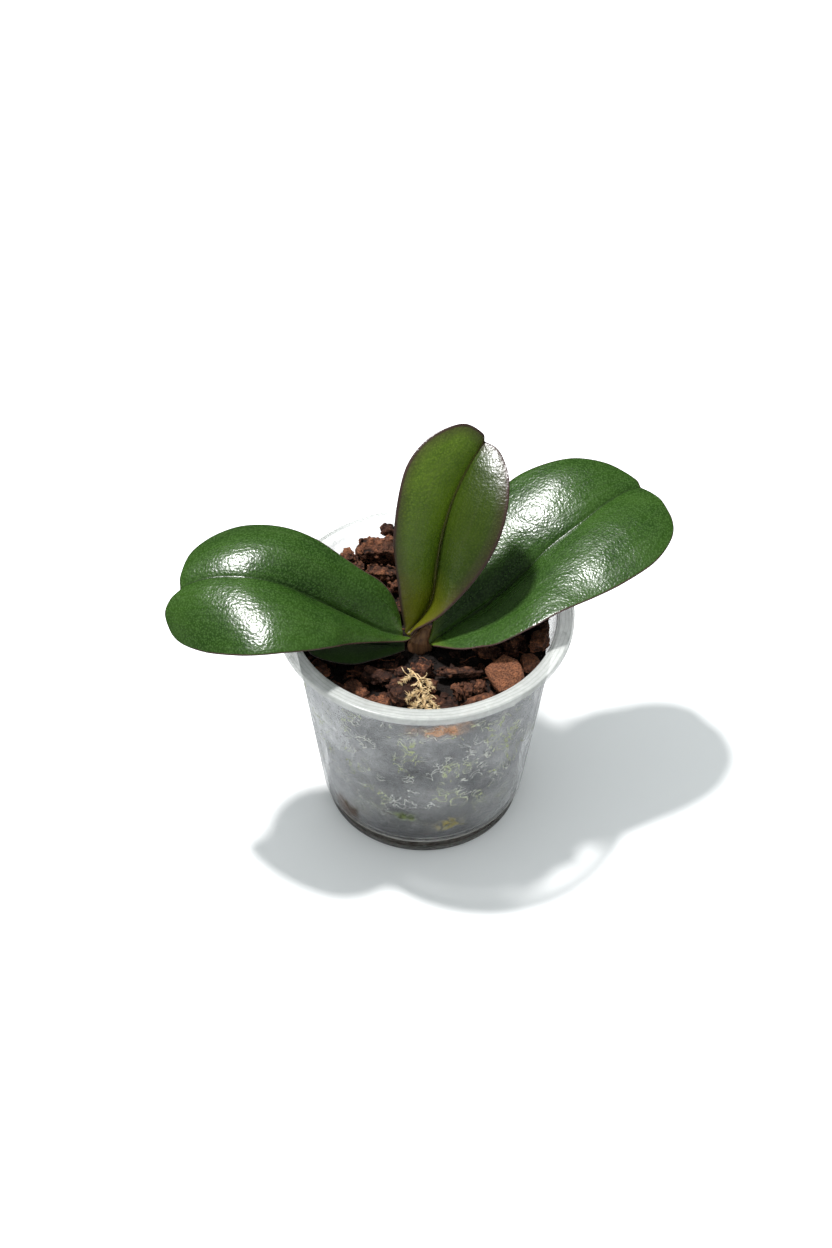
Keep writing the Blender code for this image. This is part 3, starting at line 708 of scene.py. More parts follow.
def loose_chunk(number):
    node = f"bark_chip_{number:02d}"
    chance = random.Random(number)
    piece = copy_of_node(node, f"chunk_{number:02d}")
    finer = piece.modifiers.new("Finer", "SUBSURF")
    smooth = number in SMOOTH_CHUNKS
    finer.subdivision_type = "CATMULL_CLARK" if smooth else "SIMPLE"
    finer.levels = CHUNK_CUTS
    finer.render_levels = CHUNK_CUTS
    apply_modifiers(piece)
    if smooth:
        fill_node(piece, node)
    before = points_of(piece)
    ragged = BACK_RAGGED if before[0][0].y > 0 else 1.0
    for kind, size, strength, smooth_strength, middle in CHUNK_WEAR:
        displace(piece, kind, size, smooth_strength if smooth else strength * ragged, middle)
    give_pits(piece, before, 1.5)
    tone = PALE_CHUNKS.get(number, chance.uniform(0.08, 0.66))
    give_tone(piece, [tone] * len(piece.data.vertices))
    only(piece)
    bpy.ops.object.shade_smooth_by_angle(angle=math.radians(28))
    finish(piece, CHUNK_BARK, "bark", node)
    return len(piece.data.polygons)


chunk_nodes = [node for node in nodes if node.startswith("bark_chip_")]
faces = [loose_chunk(int(node[-2:])) for node in sorted(chunk_nodes)]
print("loose chunks:", len(faces), "faces:", sum(faces))

# %% [markdown]
# Between the chunks lie crumbs. Four crumbs are modelled from a coarse ball that is crushed out
# of shape, and then copied over the top of the bark at random sizes and turns. The copies are
# joined into one piece, because nobody picks up a crumb on its own.

# %% Crumbs
CRUMB_COUNT = 420
CRUMB_MODELS = 4
CRUMB_SIZES = (1.3, 4.2)
CRUMB_TONES = (0.0, 0.48)
CRUMB_STRETCH = (1.6, 0.9, 0.65)
BARK_EDGE = body_radius(POT_HEIGHT - 12.0) - WALL
EDGE_CLEARANCE = 4.0
STEM_CLEARANCE = 9
crown_low, crown_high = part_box("stem")


def bark_top(x, y):
    """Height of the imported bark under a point, in metres."""
    hit, place, _, _ = packed.ray_cast(Vector((x, y, 300 * MM)), Vector((0, 0, -1)))
    return place.z if hit else None


def crumb_model(seed):
    chance = random.Random(seed)
    deselect()
    bpy.ops.mesh.primitive_ico_sphere_add(subdivisions=1, radius=0.5 * MM)
    made = bpy.context.active_object
    for vert in made.data.vertices:
        vert.co *= chance.uniform(0.7, 1.25)
    made.data.transform(Matrix.Diagonal((*CRUMB_STRETCH, 1.0)))
    return made


def scatter_crumbs():
    chance = random.Random(11)
    bpy.context.view_layer.update()
    models = [crumb_model(seed) for seed in range(CRUMB_MODELS)]
    crumbs = []
    reach = (BARK_EDGE - EDGE_CLEARANCE) * MM
    middle = (crown_low + crown_high) / 2
    while len(crumbs) < CRUMB_COUNT:
        x = chance.uniform(-reach, reach)
        y = chance.uniform(-reach, reach)
        from_stem = math.hypot(x - middle.x, y - middle.y)
        top = bark_top(x, y)
        if math.hypot(x, y) > reach or from_stem < STEM_CLEARANCE * MM or top is None:
            continue
        crumb = another(models[len(crumbs) % CRUMB_MODELS])
        size = chance.uniform(*CRUMB_SIZES)
        crumb.scale = (size, size, size)
        crumb.rotation_euler = [chance.uniform(-0.7, 0.7), chance.uniform(-0.7, 0.7),
                                chance.uniform(0, 6.3)]
        crumb.location = (x, y, top + size * 0.1 * MM)
        crumbs.append(crumb)
    for model in models:
        bpy.data.objects.remove(model, do_unlink=True)
    joined = join(crumbs, "bark_crumbs")
    settle(joined)
    return joined


crumbs = scatter_crumbs()
crumb_points = len(crumbs.data.vertices) // CRUMB_COUNT
crumb_chance = random.Random(3)
crumb_tones = [crumb_chance.uniform(*CRUMB_TONES) for _ in range(CRUMB_COUNT)]
give_tone(crumbs, [crumb_tones[i // crumb_points] for i in range(len(crumbs.data.vertices))])
finish(crumbs, CHUNK_BARK, "bark")
print("crumb faces:", len(crumbs.data.polygons))

# %% [markdown]
# ## Leaves
#
# A moth orchid's leaf is a thick, leathery tongue with a grooved midrib. It arches out of the
# crown, and its two halves are seldom level. It could be sculpted, but then it could not be
# measured. Here each leaf is a grid primitive that is laid on three guide curves, the midrib and
# the two margins, in millimetres from the crown. The grid is tighter near the midrib, so the
# groove stays crisp. Solidify gives the flesh, thinner at the margin, and a subdivision rounds
# the edge.

# %% Where the leaves meet
CROWN_FROM_LEFT = 5.41
CROWN_DEPTH = 2.0
crown = Vector((crown_low.x / MM + CROWN_FROM_LEFT, (crown_low.y + crown_high.y) / 2 / MM,
                crown_high.z / MM - CROWN_DEPTH))
print("crown at", [round(value, 1) for value in crown])

# %% Guide curves of the leaves
LEAF_CURVES = {
    "left": {
        "midrib": (
            (-6.5, -2.0, 0.0), (-15.5, -4.5, 5.5), (-28.5, -5.0, 14.5), (-42.5, -7.0, 26.5),
            (-56.5, -8.5, 36.5), (-69.5, -9.0, 40.5), (-82.0, -8.0, 39.5), (-92.5, -7.5, 35.0),
            (-96.5, -8.0, 32.0)),
        "left": (
            (-3.0, -3.0, 0.0), (-6.0, -6.5, 1.5), (-12.0, -10.5, 5.0), (-18.5, -16.0, 10.5),
            (-27.5, -24.0, 18.0), (-34.5, -32.0, 24.5), (-43.0, -38.0, 29.0),
            (-51.5, -42.0, 32.0), (-62.0, -44.0, 32.5), (-72.5, -42.0, 30.0),
            (-86.5, -34.5, 24.0), (-97.5, -24.0, 19.5), (-102.5, -15.5, 24.5),
            (-100.5, -11.0, 29.5), (-96.5, -8.0, 32.0)),
        "right": (
            (-8.0, 3.4, 6.0), (-11.0, 6.8, 14.5), (-16.0, 9.0, 21.0), (-23.0, 9.5, 26.5),
            (-30.5, 11.5, 31.5), (-43.0, 15.5, 39.0), (-56.5, 18.5, 42.5), (-71.5, 20.0, 41.5),
            (-84.0, 17.0, 38.5), (-93.0, 8.0, 37.0), (-96.5, -2.5, 35.0), (-96.5, -8.0, 32.0)),
    },
    "right": {
        "midrib": (
            (4.0, -5.0, -1.0), (16.0, 4.0, 1.5), (29.5, 12.0, 6.5), (42.0, 20.0, 14.5),
            (53.5, 27.5, 23.0), (65.5, 35.5, 28.5), (77.0, 46.0, 30.5), (86.5, 54.5, 30.0),
            (93.0, 58.5, 28.5)),
        "left": (
            (6.0, 5.0, 6.0), (13.0, 20.5, 13.5), (23.5, 42.0, 23.5), (33.0, 55.0, 29.0),
            (41.0, 61.5, 32.5), (53.5, 65.5, 36.0), (66.0, 68.5, 36.0), (79.5, 67.5, 33.5),
            (90.5, 62.5, 30.0), (93.0, 58.5, 28.5)),
        "right": (
            (5.5, -7.5, 0.0), (16.0, -14.0, 5.0), (24.0, -16.0, 8.5), (32.0, -17.5, 12.5),
            (46.0, -15.0, 20.0), (57.0, -10.0, 23.5), (71.5, -2.5, 24.5), (83.0, 4.0, 26.0),
            (96.0, 14.5, 27.5), (103.5, 27.0, 28.0), (105.0, 37.0, 28.5), (101.5, 48.5, 29.5),
            (97.5, 54.0, 29.5), (93.0, 58.5, 28.5)),
    },
    "centre": {
        "midrib": (
            (-5.5, -1.5, 0.5), (-2.0, 1.5, 2.5), (1.5, 4.5, 5.5), (5.0, 7.5, 13.0),
            (6.5, 11.0, 28.0), (8.8, 14.5, 43.5), (13.0, 20.0, 57.5), (19.0, 27.5, 68.0),
            (23.5, 33.0, 73.0), (25.5, 35.0, 74.5)),
        "left": (
            (-6.5, 0.0, 3.0), (-8.0, 1.0, 13.5), (-10.5, 5.0, 37.0), (-11.0, 6.5, 48.5),
            (-9.0, 12.5, 66.0), (-5.0, 20.0, 77.0), (4.0, 27.5, 84.0), (16.5, 33.0, 85.5),
            (24.5, 35.0, 79.0), (25.5, 35.0, 74.5)),
        "right": (
            (-4.0, -4.0, 2.5), (-1.5, -4.5, 6.5), (2.5, -5.0, 10.0), (9.5, -5.0, 16.5),
            (21.0, -3.5, 32.0), (29.5, 0.0, 47.5), (34.0, 7.0, 60.5), (35.0, 18.0, 69.0),
            (32.5, 27.5, 73.0), (29.5, 32.0, 74.5), (25.5, 35.0, 74.5)),
    },
    "old": {
        "midrib": (
            (-6.0, -4.0, -3.5), (-18.0, -4.0, -2.5), (-32.0, -3.5, -1.5), (-48.0, -4.5, -1.5)),
        "left": (
            (-6.0, -6.5, -4.0), (-12.0, -10.0, -3.5), (-18.5, -13.5, -2.5), (-27.0, -16.5, -2.0),
            (-36.5, -15.5, -1.5), (-44.5, -11.5, -1.5), (-48.0, -4.5, -1.5)),
        "right": (
            (-6.5, -1.5, -3.0), (-14.0, 5.0, -1.5), (-27.0, 9.0, -0.5), (-38.0, 7.5, -1.0),
            (-45.5, 2.0, -1.5), (-48.0, -4.5, -1.5)),
    },
}


# %% Lay one half of a blade
def smooth_curve(points, count):
    """Read count + 1 evenly spaced points from a smooth curve through the given ones."""
    knots = np.array(points, dtype=float)
    ends = np.vstack([2 * knots[0] - knots[1], knots, 2 * knots[-1] - knots[-2]])
    fine = []
    for i in range(len(knots) - 1):
        a, b, c, d = ends[i:i + 4]
        for t in np.linspace(0.0, 1.0, 24, endpoint=False):
            fine.append(0.5 * (2 * b + (c - a) * t + (2 * a - 5 * b + 4 * c - d) * t ** 2
                               + (3 * b - a - 3 * c + d) * t ** 3))
    fine.append(knots[-1])
    fine = np.array(fine)
    run = np.concatenate([[0.0], np.cumsum(np.linalg.norm(np.diff(fine, axis=0), axis=1))])
    wanted = np.linspace(0.0, run[-1], count + 1)
    return np.column_stack([np.interp(wanted, run, fine[:, axis]) for axis in range(3)])


LEAF_ROWS = 96
LEAF_COLUMNS = 26
TIP_STEPS = 200
COLUMN_CROWDING = 1.35


def half_blade(midrib, margin, tip_share, swell_height):
    """Rows of points from base to tip, each from the midrib out to the margin."""
    along = smooth_curve(midrib, LEAF_ROWS)
    edge = smooth_curve(margin, 10 * LEAF_ROWS)
    split = int(len(edge) * tip_share)
    side = smooth_curve(edge[:split + 1], LEAF_ROWS)
    shares = np.linspace(0.0, 1.0, LEAF_COLUMNS + 1) ** COLUMN_CROWDING
    tip = smooth_curve(edge[split:][::-1], TIP_STEPS)
    rows = []
    for i in range(LEAF_ROWS + 1):
        u = i / LEAF_ROWS
        reach = side[i] - along[i]
        ahead = along[min(i + 1, LEAF_ROWS)] - along[max(i - 1, 0)]
        up = np.cross(ahead, reach)
        up = up / np.linalg.norm(up)
        row = []
        for v in shares:
            straight_end = along[-1] * (1 - v) + side[-1] * v
            end = tip[int(round(v * TIP_STEPS))]
            point = along[i] * (1 - v) + side[i] * v + (end - straight_end) * u ** 4
            swell = swell_height * 4 * v * (1 - v)
            swell *= math.sin(math.pi * min(1.0, 1.6 * u) / 2) * (1 - u ** 6)
            row.append(point + up * swell)
        rows.append(row)
    return rows


# %% How far a blade is from its node
def drift_from_node(mesh, node):
    """The largest distance between a face of the mesh's box and of its node's, in millimetres."""
    drifts = []
    for axis in range(3):
        spread = [vert.co[axis] for vert in mesh.vertices]
        for mine, its in zip((min(spread), max(spread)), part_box(node)):
            drifts.append(abs(mine - its[axis]) / MM)
    return max(drifts)


# %% [markdown]
# Four values go with each point of the blade as attributes: how far it is from the midrib and
# from the margin, in millimetres, how far along the leaf it is, and which half it is on. The
# finish reads them to draw the painted shade of the groove and the dark edge at a true width,
# however wide the leaf is there, to tint the base, and to paint shade over one half.

# %% Build a blade
GROOVE_DEPTH = 0.42
GROOVE_WIDTH = 1.0
RIB_STEPS = 300
MARGIN_STEPS = 400
FLESH_REACH = 5.0
RIPPLE_REACH = 6.0


def blade(name, curves, swell_height, ripple, thickness, tip_share):
    left = half_blade(curves["midrib"], curves["left"], tip_share, swell_height)
    right = half_blade(curves["midrib"], curves["right"], tip_share, -swell_height)
    deselect()
    bpy.ops.mesh.primitive_grid_add(x_subdivisions=2 * LEAF_COLUMNS, y_subdivisions=LEAF_ROWS,
                                    size=1.0, calc_uvs=True)
    piece = bpy.context.active_object
    piece.name = name
    mesh = piece.data
    origin = np.array(crown)
    middle = smooth_curve(curves["midrib"], RIB_STEPS) + origin
    margins = np.vstack([smooth_curve(curves[side], MARGIN_STEPS) for side in ("left", "right")])
    margins = margins + origin
    rib, edge, along, half = [], [], [], []
    body = piece.vertex_groups.new(name="body")
    for vert in mesh.vertices:
        column = round((vert.co.x + 0.5) * 2 * LEAF_COLUMNS) - LEAF_COLUMNS
        row = round((vert.co.y + 0.5) * LEAF_ROWS)
        rows = left if column < 0 else right
        point = np.array(rows[row][abs(column)]) + origin
        rib.append(float(np.linalg.norm(middle - point, axis=1).min()))
        edge.append(float(np.linalg.norm(margins - point, axis=1).min()))
        along.append(row / LEAF_ROWS)
        half.append(1.0 if column > 0 else 0.0)
        vert.co = Vector(point) * MM
        fullness = 0.35 + 0.65 * (edge[-1] / FLESH_REACH) ** 0.7
        body.add([vert.index], min(1.0, fullness), "REPLACE")
    mesh.update()
    normals = [vert.normal.copy() for vert in mesh.vertices]
    for vert, normal, to_rib, to_edge, share in zip(mesh.vertices, normals, rib, edge, along):
        fade = min(1.0, to_edge / RIPPLE_REACH) * (1 - share ** 8)
        groove = -GROOVE_DEPTH * math.exp(-(to_rib / GROOVE_WIDTH) ** 2) * (1 - share ** 6)
        wave = noise.noise(vert.co / MM / 17.0) + 0.4 * noise.noise(vert.co / MM / 7.0)
        vert.co += normal * (groove + ripple * wave * fade) * MM
    for key, values in (("rib", rib), ("edge", edge), ("along", along), ("half", half)):
        give(piece, key, values)
    flesh = piece.modifiers.new("Flesh", "SOLIDIFY")
    flesh.thickness = thickness * MM
    flesh.offset = -1.0
    flesh.vertex_group = "body"
    rounder = piece.modifiers.new("Round", "SUBSURF")
    rounder.levels = 1
    rounder.render_levels = 1
    apply_modifiers(piece)
    mesh = piece.data
    mesh.shade_smooth()
    print(name, "is within", round(drift_from_node(mesh, name), 2), "mm of its node's box;",
          len(mesh.polygons), "faces")
    return piece


# %% [markdown]
# ## The finish of the leaves
#
# The skin is satin and dark green, paler and yellower at the base, with a fine pebbled grain and
# faint veins that run the length of the leaf. The margin is a thin purple-brown line. The midrib
# groove gets a dark line of painted shade, and one half of the young leaf is darkened as painted
# shade. The pattern across the leaf follows its own UV map, where V runs along the leaf, and the
# fine grain runs through space.

# %% Leaf finish
# Colour of the painted shade over one half of a leaf.
PAINTED_HALF_SHADE = (0.004, 0.007, 0.002)


def leaf_look(name, deep, fresh, cell, base, rib, margin, base_reach, rib_width, margin_width,
              rim_tint, painted_half_shade, streak, shine):
    look, tree, shader = new_look(name)
    place = object_place(tree)
    flat = add(tree, "TexCoord").outputs["UV"]
    veins = add(tree, "Mapping", {"Vector": flat, "Scale": (34.0, 1.1, 1.0)}).outputs[0]
    fine_veins = add(tree, "Mapping", {"Vector": flat, "Scale": (120.0, 3.5, 1.0)}).outputs[0]
    to_rib, edge, along, half = (attribute(tree, key) for key in ("rib", "edge", "along", "half"))
    clouds = grain(tree, place, 55.0, 2.0)
    vein = grain(tree, veins, 1.0, 2.0)
    cells = add(tree, "TexVoronoi", {"Vector": place, "Scale": 1250.0}).outputs["Distance"]
    wander = plus(tree, along, span(tree, clouds, 0.3, 0.7, -0.05, 0.05))
    ragged = plus(tree, edge, span(tree, clouds, 0.3, 0.7, -0.25, 0.25))
    plug(tree, shader.inputs["Base Color"], layered(tree, deep, (
        (span(tree, clouds, 0.3, 0.7), fresh),
        (span(tree, vein, 0.45, 0.75, 0.0, streak), base),
        (span(tree, cells, 0.60, 0.20, 0.0, 0.62), cell),
        # Painted shade over the half marked 1.
        (times(tree, half, painted_half_shade), PAINTED_HALF_SHADE),
        (span(tree, edge, 6.0, 0.5, 0.0, rim_tint), margin),
        (span(tree, wander, base_reach, 0.0, 0.0, 0.9), base),
        # Painted shade: a dark line in the midrib groove, reddish on the young leaf.
        (span(tree, to_rib, rib_width, 0.2 * rib_width, 0.0, 0.5), rib),
        (span(tree, ragged, margin_width, 0.35 * margin_width), margin),
    )))
    plug(tree, shader.inputs["Roughness"], span(tree, vein, 0.3, 0.7, shine, shine + 0.12))
    shader.inputs["Specular IOR Level"].default_value = 0.75
    relief = plus(tree, times(tree, grain(tree, fine_veins, 1.0, 2.0), 0.12),
                  times(tree, grain(tree, place, 950.0, 1.5), 0.75))
    relief = plus(tree, relief, times(tree, grain(tree, place, 210.0, 2.0), 0.8))
    plug(tree, shader.inputs["Normal"], bump(tree, relief, 0.7, 0.42))
    return look


GREEN_LEAF = leaf_look(
    "green_leaf", deep=(0.009, 0.032, 0.002), fresh=(0.021, 0.056, 0.005),
    cell=(0.050, 0.108, 0.022), base=(0.075, 0.120, 0.010), rib=(0.008, 0.020, 0.003),
    margin=(0.060, 0.030, 0.028), base_reach=0.08, rib_width=0.7, margin_width=0.75,
    rim_tint=0.0, painted_half_shade=0.0, streak=0.04, shine=0.25)
# The young leaf's halves are a lit and a shaded copy of one green: these colours are the lit left
# half's, and the half-shade share darkens the right half.
YOUNG_LEAF = leaf_look(
    "young_leaf", deep=(0.042, 0.084, 0.002), fresh=(0.068, 0.122, 0.003),
    cell=(0.105, 0.165, 0.010), base=(0.130, 0.125, 0.002), rib=(0.075, 0.036, 0.010),
    margin=(0.040, 0.020, 0.016), base_reach=0.35, rib_width=0.55, margin_width=1.5,
    rim_tint=0.62, painted_half_shade=0.62, streak=0.08, shine=0.28)
OLD_LEAF = leaf_look(
    "old_leaf", deep=(0.008, 0.024, 0.003), fresh=(0.018, 0.046, 0.006),
    cell=(0.034, 0.070, 0.013), base=(0.030, 0.040, 0.012), rib=(0.005, 0.015, 0.004),
    margin=(0.040, 0.028, 0.024), base_reach=0.10, rib_width=0.7, margin_width=0.6,
    rim_tint=0.0, painted_half_shade=0.0, streak=0.04, shine=0.28)
print("leaf finishes:", GREEN_LEAF.name, YOUNG_LEAF.name, OLD_LEAF.name)

# %% The four leaves
leaf_plan = (
    # node, curves, swell, ripple, thickness, share of the margin before the tip, look, slot
    ("leaf_left", "left", 4.2, 0.35, 1.9, 0.86, GREEN_LEAF, "leaf_green"),
    ("leaf_right", "right", 3.6, 0.45, 1.9, 0.86, GREEN_LEAF, "leaf_green"),
    ("leaf_centre", "centre", 2.6, 0.30, 1.9, 0.86, YOUNG_LEAF, "young_leaf_green"),
    ("leaf_old", "old", 1.2, 0.25, 1.4, 0.84, OLD_LEAF, "old_leaf_green"),
)
for node, curves, swell_height, ripple, thickness, tip_share, look, slot in leaf_plan:
    piece = blade(node, LEAF_CURVES[curves], swell_height, ripple, thickness, tip_share)
    piece.name = node + "_blade"
    finish(piece, look, slot, node)

# %% [markdown]
# ## Stem and roots
#
# The stem is a short stub. Where it leaves the bark it is wrapped in the dry brown sheaths of
# lost leaves. Lower down it is painted as dark as the bark, as painted shade under the leaves. The
# roots have a pale, spongy skin. Their nodes have the right shape, so they stay and only take new
# finishes.

# %% Stem and root finishes
def fibre_look(name, dark, light, scale):
    look, tree, shader = new_look(name)
    strands = grain(tree, object_place(tree, (1.0, 1.0, 0.2)), scale, 4.0, 0.6)
    colour = blend(tree, span(tree, strands, 0.35, 0.68), dark, light)
    plug(tree, shader.inputs["Base Color"], colour)
    plug(tree, shader.inputs["Roughness"], span(tree, strands, 0.3, 0.7, 0.45, 0.8))
    plug(tree, shader.inputs["Normal"], bump(tree, strands, 0.7, 0.5))
    return look


def sheath_look():
    look, tree, shader = new_look("stem_sheath")
    height = add(tree, "SeparateXYZ", {"Vector": object_place(tree)}).outputs["Z"]
    strands = grain(tree, object_place(tree, (1.0, 1.0, 0.12)), 700.0, 3.0, 0.6)
    streaks = span(tree, strands, 0.3, 0.7)
    # Painted shade: below the sheaths the stem takes a colour as dark as the bark, for the shade
    # under the leaves.
    shaded_stem_skin = blend(tree, streaks, (0.020, 0.008, 0.005), (0.090, 0.038, 0.020))
    sheath = blend(tree, streaks, (0.110, 0.048, 0.022), (0.260, 0.135, 0.055))
    top = crown_high.z / MM
    rise = band(tree, height, top - 12.0, top - 5.0)
    plug(tree, shader.inputs["Base Color"], blend(tree, rise, shaded_stem_skin, sheath))
    shader.inputs["Roughness"].default_value = 0.5
    plug(tree, shader.inputs["Normal"], bump(tree, strands, 0.4, 0.2))
    return look


STEM_LOOK = sheath_look()
ROOT_LOOK = fibre_look("root_velamen", (0.30, 0.34, 0.24), (0.55, 0.58, 0.48), 500.0)
nodes["stem"].material_slots[0].material = STEM_LOOK
root_nodes = [node for node in nodes if node.startswith("root_")]
for node in root_nodes:
    nodes[node].material_slots[0].material = ROOT_LOOK
print("stem:", STEM_LOOK.name, "and", len(root_nodes), "roots:", ROOT_LOOK.name)

# %% [markdown]
# ## Dry moss
#
# A strand of dry sphagnum lies over the front of the bark. It is a pale stalk with short side
# shoots and loose threads. Tiny scale-like leaves cover the shoots and crowd into a star at the
# tips. The stalks are bezier curves with a round bevel. One scale is modelled and copied.

# %% Moss stalks
moss_low, moss_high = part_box("moss_strand")


def stalk(points, radius, name):
    """A round stalk through points, in millimetres, as a closed mesh."""
    deselect()
    bpy.ops.curve.primitive_bezier_curve_add()
    made = bpy.context.active_object
    line = made.data
    spline = line.splines[0]
    spline.bezier_points.add(len(points) - 2)
    for knot, point in zip(spline.bezier_points, points):
        knot.co = Vector(point) * MM
        knot.handle_left_type = "AUTO"
        knot.handle_right_type = "AUTO"
    line.resolution_u = 4
    line.bevel_depth = radius * MM
    line.bevel_resolution = 1
    line.use_fill_caps = True
    only(made)
    bpy.ops.object.convert(target="MESH")
    made = bpy.context.active_object
    made.name = name
    bpy.ops.object.mode_set(mode="EDIT")
    weld()
    bpy.ops.mesh.normals_make_consistent(inside=False)
    bpy.ops.object.mode_set(mode="OBJECT")
    return made


def moss_scale():
    """One moss leaf: a thin pointed scale that grows along +Z."""
    deselect()
    bpy.ops.mesh.primitive_cone_add(vertices=5, radius1=0.30 * MM, radius2=0.02 * MM,
                                    depth=1.8 * MM, location=(0, 0, 0.8 * MM))
    made = bpy.context.active_object
    made.scale = (1.0, 0.35, 1.0)
    settle(made)
    return made


def aimed(model, place, aim, stretch):
    """A copy of a scale at a place in millimetres, turned to grow along aim."""
    scale = another(model)
    turn = aim.to_track_quat("Z", "Y").to_matrix().to_4x4()
    scale.matrix_world = Matrix.Translation(Vector(place) * MM) @ turn @ stretch
    return scale


PATH_STEPS = 60


def dress(points, model, chance, per_mm, out):
    """Copy a scale along a stalk, more densely towards its tip."""
    path = smooth_curve(points, PATH_STEPS)
    run = np.linalg.norm(np.diff(path, axis=0), axis=1).sum()
    copies = []
    for _ in range(int(run * per_mm)):
        t = chance.random() ** 0.7
        i = min(PATH_STEPS - 1, int(t * PATH_STEPS))
        ahead = Vector(path[min(i + 1, PATH_STEPS)] - path[max(i - 1, 0)]).normalized()
        side = Vector([chance.uniform(-1, 1) for _ in range(3)]).cross(ahead).normalized()
        aim = (ahead * 0.7 + side * out).normalized()
        copies.append(aimed(model, path[i], aim, Matrix.Scale(chance.uniform(0.7, 1.3), 4)))
    return copies


# %% Threads and stars of the moss
THREAD_COUNT = 22
THREAD_KNOTS = 3
THREAD_SWAY = 2.6


def loose_threads(main, chance):
    """Thin threads that wander off from the middle of the main stalk's stretches."""
    threads = []
    for _ in range(THREAD_COUNT):
        i = chance.randrange(1, 5)
        knot = np.array(main[i]) * 0.5 + np.array(main[i + 1]) * 0.5
        points = [tuple(knot)]
        for _ in range(THREAD_KNOTS):
            knot = knot + np.array([chance.uniform(-THREAD_SWAY, THREAD_SWAY),
                                    chance.uniform(-THREAD_SWAY, THREAD_SWAY),
                                    chance.uniform(-0.5, 0.9)])
            points.append(tuple(knot))
        threads.append(stalk(points, chance.uniform(0.12, 0.22), "moss_thread"))
    return threads


def star(model, middle, count, chance):
    """Scales that spread from one place, forward and upward more than back and down."""
    rays = []
    for _ in range(count):
        aim = Vector((chance.uniform(-1, 1), chance.uniform(-1, 0.7), chance.uniform(-0.1, 0.9)))
        stretch = Matrix.Diagonal((1.1, 1.1, chance.uniform(1.2, 2.4), 1.0))
        rays.append(aimed(model, middle, aim, stretch))
    return rays


# %% The moss strand
STALK_RADIUS = 0.36
SHOOT_RADIUS = 0.22


def build_moss():
    chance = random.Random(5)
    x, y, z = (moss_low.x / MM, moss_high.y / MM, (moss_low.z + moss_high.z) / 2 / MM)
    main = [(x + 0.7, y - 0.7, z + 1.6), (x + 3.0, y - 4.0, z + 3.0), (x + 5.3, y - 8.0, z + 2.2),
            (x + 6.8, y - 11.5, z + 0.6), (x + 7.4, y - 15.0, z - 0.8),
            (x + 7.4, y - 18.3, z - 2.0)]
    shoots = [
        [main[1], (x + 1.5, y - 6.5, z + 3.4), (x - 0.5, y - 8.5, z + 3.0)],
        [main[2], (x + 8.0, y - 9.0, z + 3.4), (x + 10.0, y - 11.0, z + 3.2)],
        [main[3], (x + 4.2, y - 13.0, z + 1.6), (x + 2.0, y - 15.0, z + 0.8)],
        [main[4], (x + 9.5, y - 16.5, z + 0.4), (x + 11.5, y - 18.5, z - 0.4)],
        [main[4], (x + 5.5, y - 17.0, z + 0.0), (x + 3.8, y - 19.0, z - 0.6)],
        [main[5], (x + 8.6, y - 19.6, z - 1.4), (x + 9.4, y - 20.6, z - 1.2)],
    ]
    model = moss_scale()
    pieces = [stalk(main, STALK_RADIUS, "moss_stalk")]
    pieces += loose_threads(main, chance)
    pieces += dress(main, model, chance, per_mm=3.0, out=0.55)
    for shoot in shoots:
        pieces.append(stalk(shoot, SHOOT_RADIUS, "moss_shoot"))
        pieces += dress(shoot, model, chance, per_mm=5.0, out=0.7)
        bend, tip = np.array(shoot[-2]), np.array(shoot[-1])
        beyond = tip + 0.8 * (tip - bend)
        pieces += dress([bend, tip, beyond], model, chance, per_mm=6.0, out=1.2)
    for middle, count in ((main[5], 26), (shoots[2][2], 14), (shoots[4][2], 14)):
        pieces += star(model, middle, count, chance)
    bpy.data.objects.remove(model, do_unlink=True)
    joined = join(pieces, "sphagnum")
    settle(joined)
    joined.data.shade_smooth()
    return joined


moss = build_moss()
finish(moss, fibre_look("dry_sphagnum", (0.40, 0.25, 0.10), (0.74, 0.58, 0.34), 700.0),
       "dry_moss", "moss_strand")
print("moss faces:", len(moss.data.polygons))

# %% [markdown]
# Where bark tears it leaves threads. A few lie loose between the chunks: thin curves, rounded
# and capped like the moss stalks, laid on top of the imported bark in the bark's own finish.

# %% Bark fibres
FIBRE_COUNT = 34
FIBRE_RISE = 2.2
FIBRE_TONE = 0.72


def bark_fibres():
    chance = random.Random(21)
    reach = BARK_EDGE - 9.0
    threads = []
    while len(threads) < FIBRE_COUNT:
        x = chance.uniform(-reach, reach)
        y = chance.uniform(-reach, reach)
        turn = chance.gauss(0.0, 0.5)
        length = chance.uniform(5.0, 13.0)
        top = bark_top(x * MM, y * MM)
        if math.hypot(x, y) > reach - 0.5 * length or top is None:
            continue
        height = top / MM + FIBRE_RISE
        points = []
        for share in (-0.5, -0.15, 0.2, 0.5):
            points.append((x + math.cos(turn) * length * share + chance.uniform(-0.5, 0.5),
                           y + math.sin(turn) * length * share + chance.uniform(-0.5, 0.5),
                           height + chance.uniform(-1.2, 1.2)))
        threads.append(stalk(points, chance.uniform(0.14, 0.34), "fibre"))
    joined = join(threads, "bark_fibres")
    settle(joined)
    joined.data.shade_smooth()
    give_tone(joined, [FIBRE_TONE] * len(joined.data.vertices))
    return joined


fibres = bark_fibres()
finish(fibres, CHUNK_BARK, "bark")
print("fibre faces:", len(fibres.data.polygons))

# %% [markdown]
# ## The setting
#
# The plant stands on a plain pale floor. One soft lamp high behind its left gives the short
# shadows and the sheen on the leaves, and an even pale sky fills the rest. Floor and sky look
# dark to reflected rays, so that glossy leaves mirror only the lamp and stay a deep green.

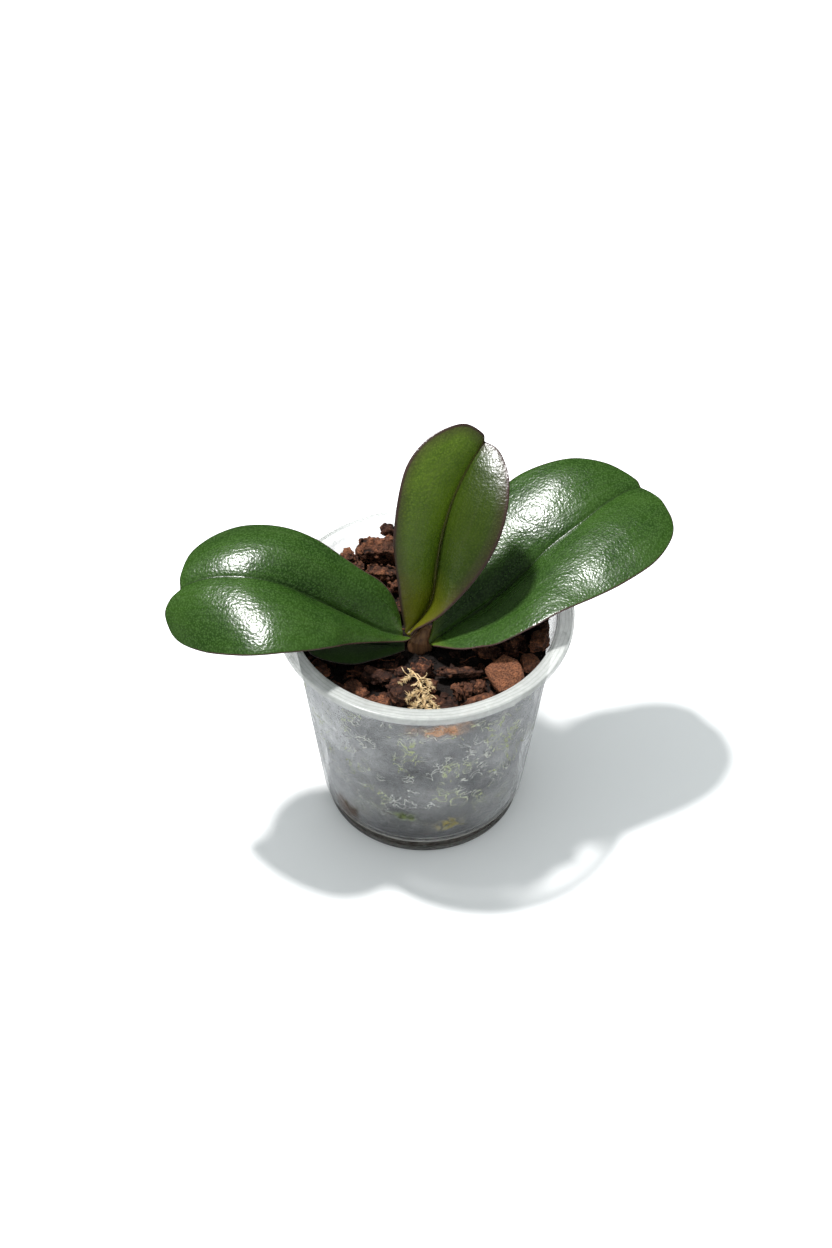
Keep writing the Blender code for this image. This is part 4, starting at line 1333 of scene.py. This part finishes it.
# %% Floor
FLOOR_SIDE = 12.0
deselect()
bpy.ops.mesh.primitive_plane_add(size=FLOOR_SIDE, location=(0, 0, 0))
floor = bpy.context.active_object
floor.name = "floor"
floor_look, floor_tree, floor_shader = new_look("pale_floor")
in_gloss = add(floor_tree, "LightPath").outputs["Is Glossy Ray"]
plug(floor_tree, floor_shader.inputs["Base Color"],
     blend(floor_tree, in_gloss, (0.86, 0.86, 0.86), (0.03, 0.03, 0.03)))
floor_shader.inputs["Roughness"].default_value = 0.9
floor_shader.inputs["Specular IOR Level"].default_value = 0.1
floor.data.materials.append(floor_look)
print("floor side:", FLOOR_SIDE, "m")

# %% Lamp and sky
LAMP_PLACE = Vector((-0.551, 0.245, 2.285))
LAMP_TARGET = Vector((0, 0, 0.05))
LAMP_SIZE = 0.20
LAMP_POWER = 88.0
SKY_STRENGTH = 0.85
SKY_GLOSS = 0.03
lamp_data = bpy.data.lights.new("key_lamp", "AREA")
lamp_data.shape = "DISK"
lamp_data.size = LAMP_SIZE
lamp_data.energy = LAMP_POWER
lamp = bpy.data.objects.new("key_lamp", lamp_data)
lamp.location = LAMP_PLACE
lamp.rotation_euler = (LAMP_TARGET - LAMP_PLACE).to_track_quat("-Z", "Y").to_euler()
bpy.context.scene.collection.objects.link(lamp)
world = bpy.data.worlds.new("pale_sky")
world.use_nodes = True
sky = world.node_tree.nodes["Background"]
sky.inputs["Color"].default_value = (0.93, 0.99, 1.0, 1.0)
in_gloss = world.node_tree.nodes.new("ShaderNodeLightPath").outputs["Is Glossy Ray"]
world.node_tree.links.new(span(world.node_tree, in_gloss, 0.0, 1.0, SKY_STRENGTH, SKY_GLOSS),
                          sky.inputs["Strength"])
bpy.context.scene.world = world
bpy.context.scene.view_settings.view_transform = "Standard"
print("lamp", round((LAMP_PLACE - LAMP_TARGET).length, 2), "m away,", LAMP_POWER, "W")

# %% [markdown]
# ## Camera
#
# The camera looks down at the plant from the front, at a little over 46 degrees, with a long
# lens that keeps the pot's ellipses close to round.

# %% Camera
LENS = 66.35
LOOK_DOWN = 46.237
CAMERA_ROLL = 0.48
CAMERA_PLACE = Vector((-3.623, -662.906, 791.283))
camera_data = bpy.data.cameras.new("view")
camera_data.lens = LENS
camera_data.clip_end = 50.0
camera = bpy.data.objects.new("view", camera_data)
camera.location = CAMERA_PLACE * MM
camera.rotation_mode = "ZYX"
camera.rotation_euler = (math.radians(90.0 - LOOK_DOWN), 0.0, math.radians(CAMERA_ROLL))
bpy.context.scene.collection.objects.link(camera)
bpy.context.scene.camera = camera
print(f"camera {CAMERA_PLACE.length:.0f} mm from the foot of the pot, lens {LENS} mm")
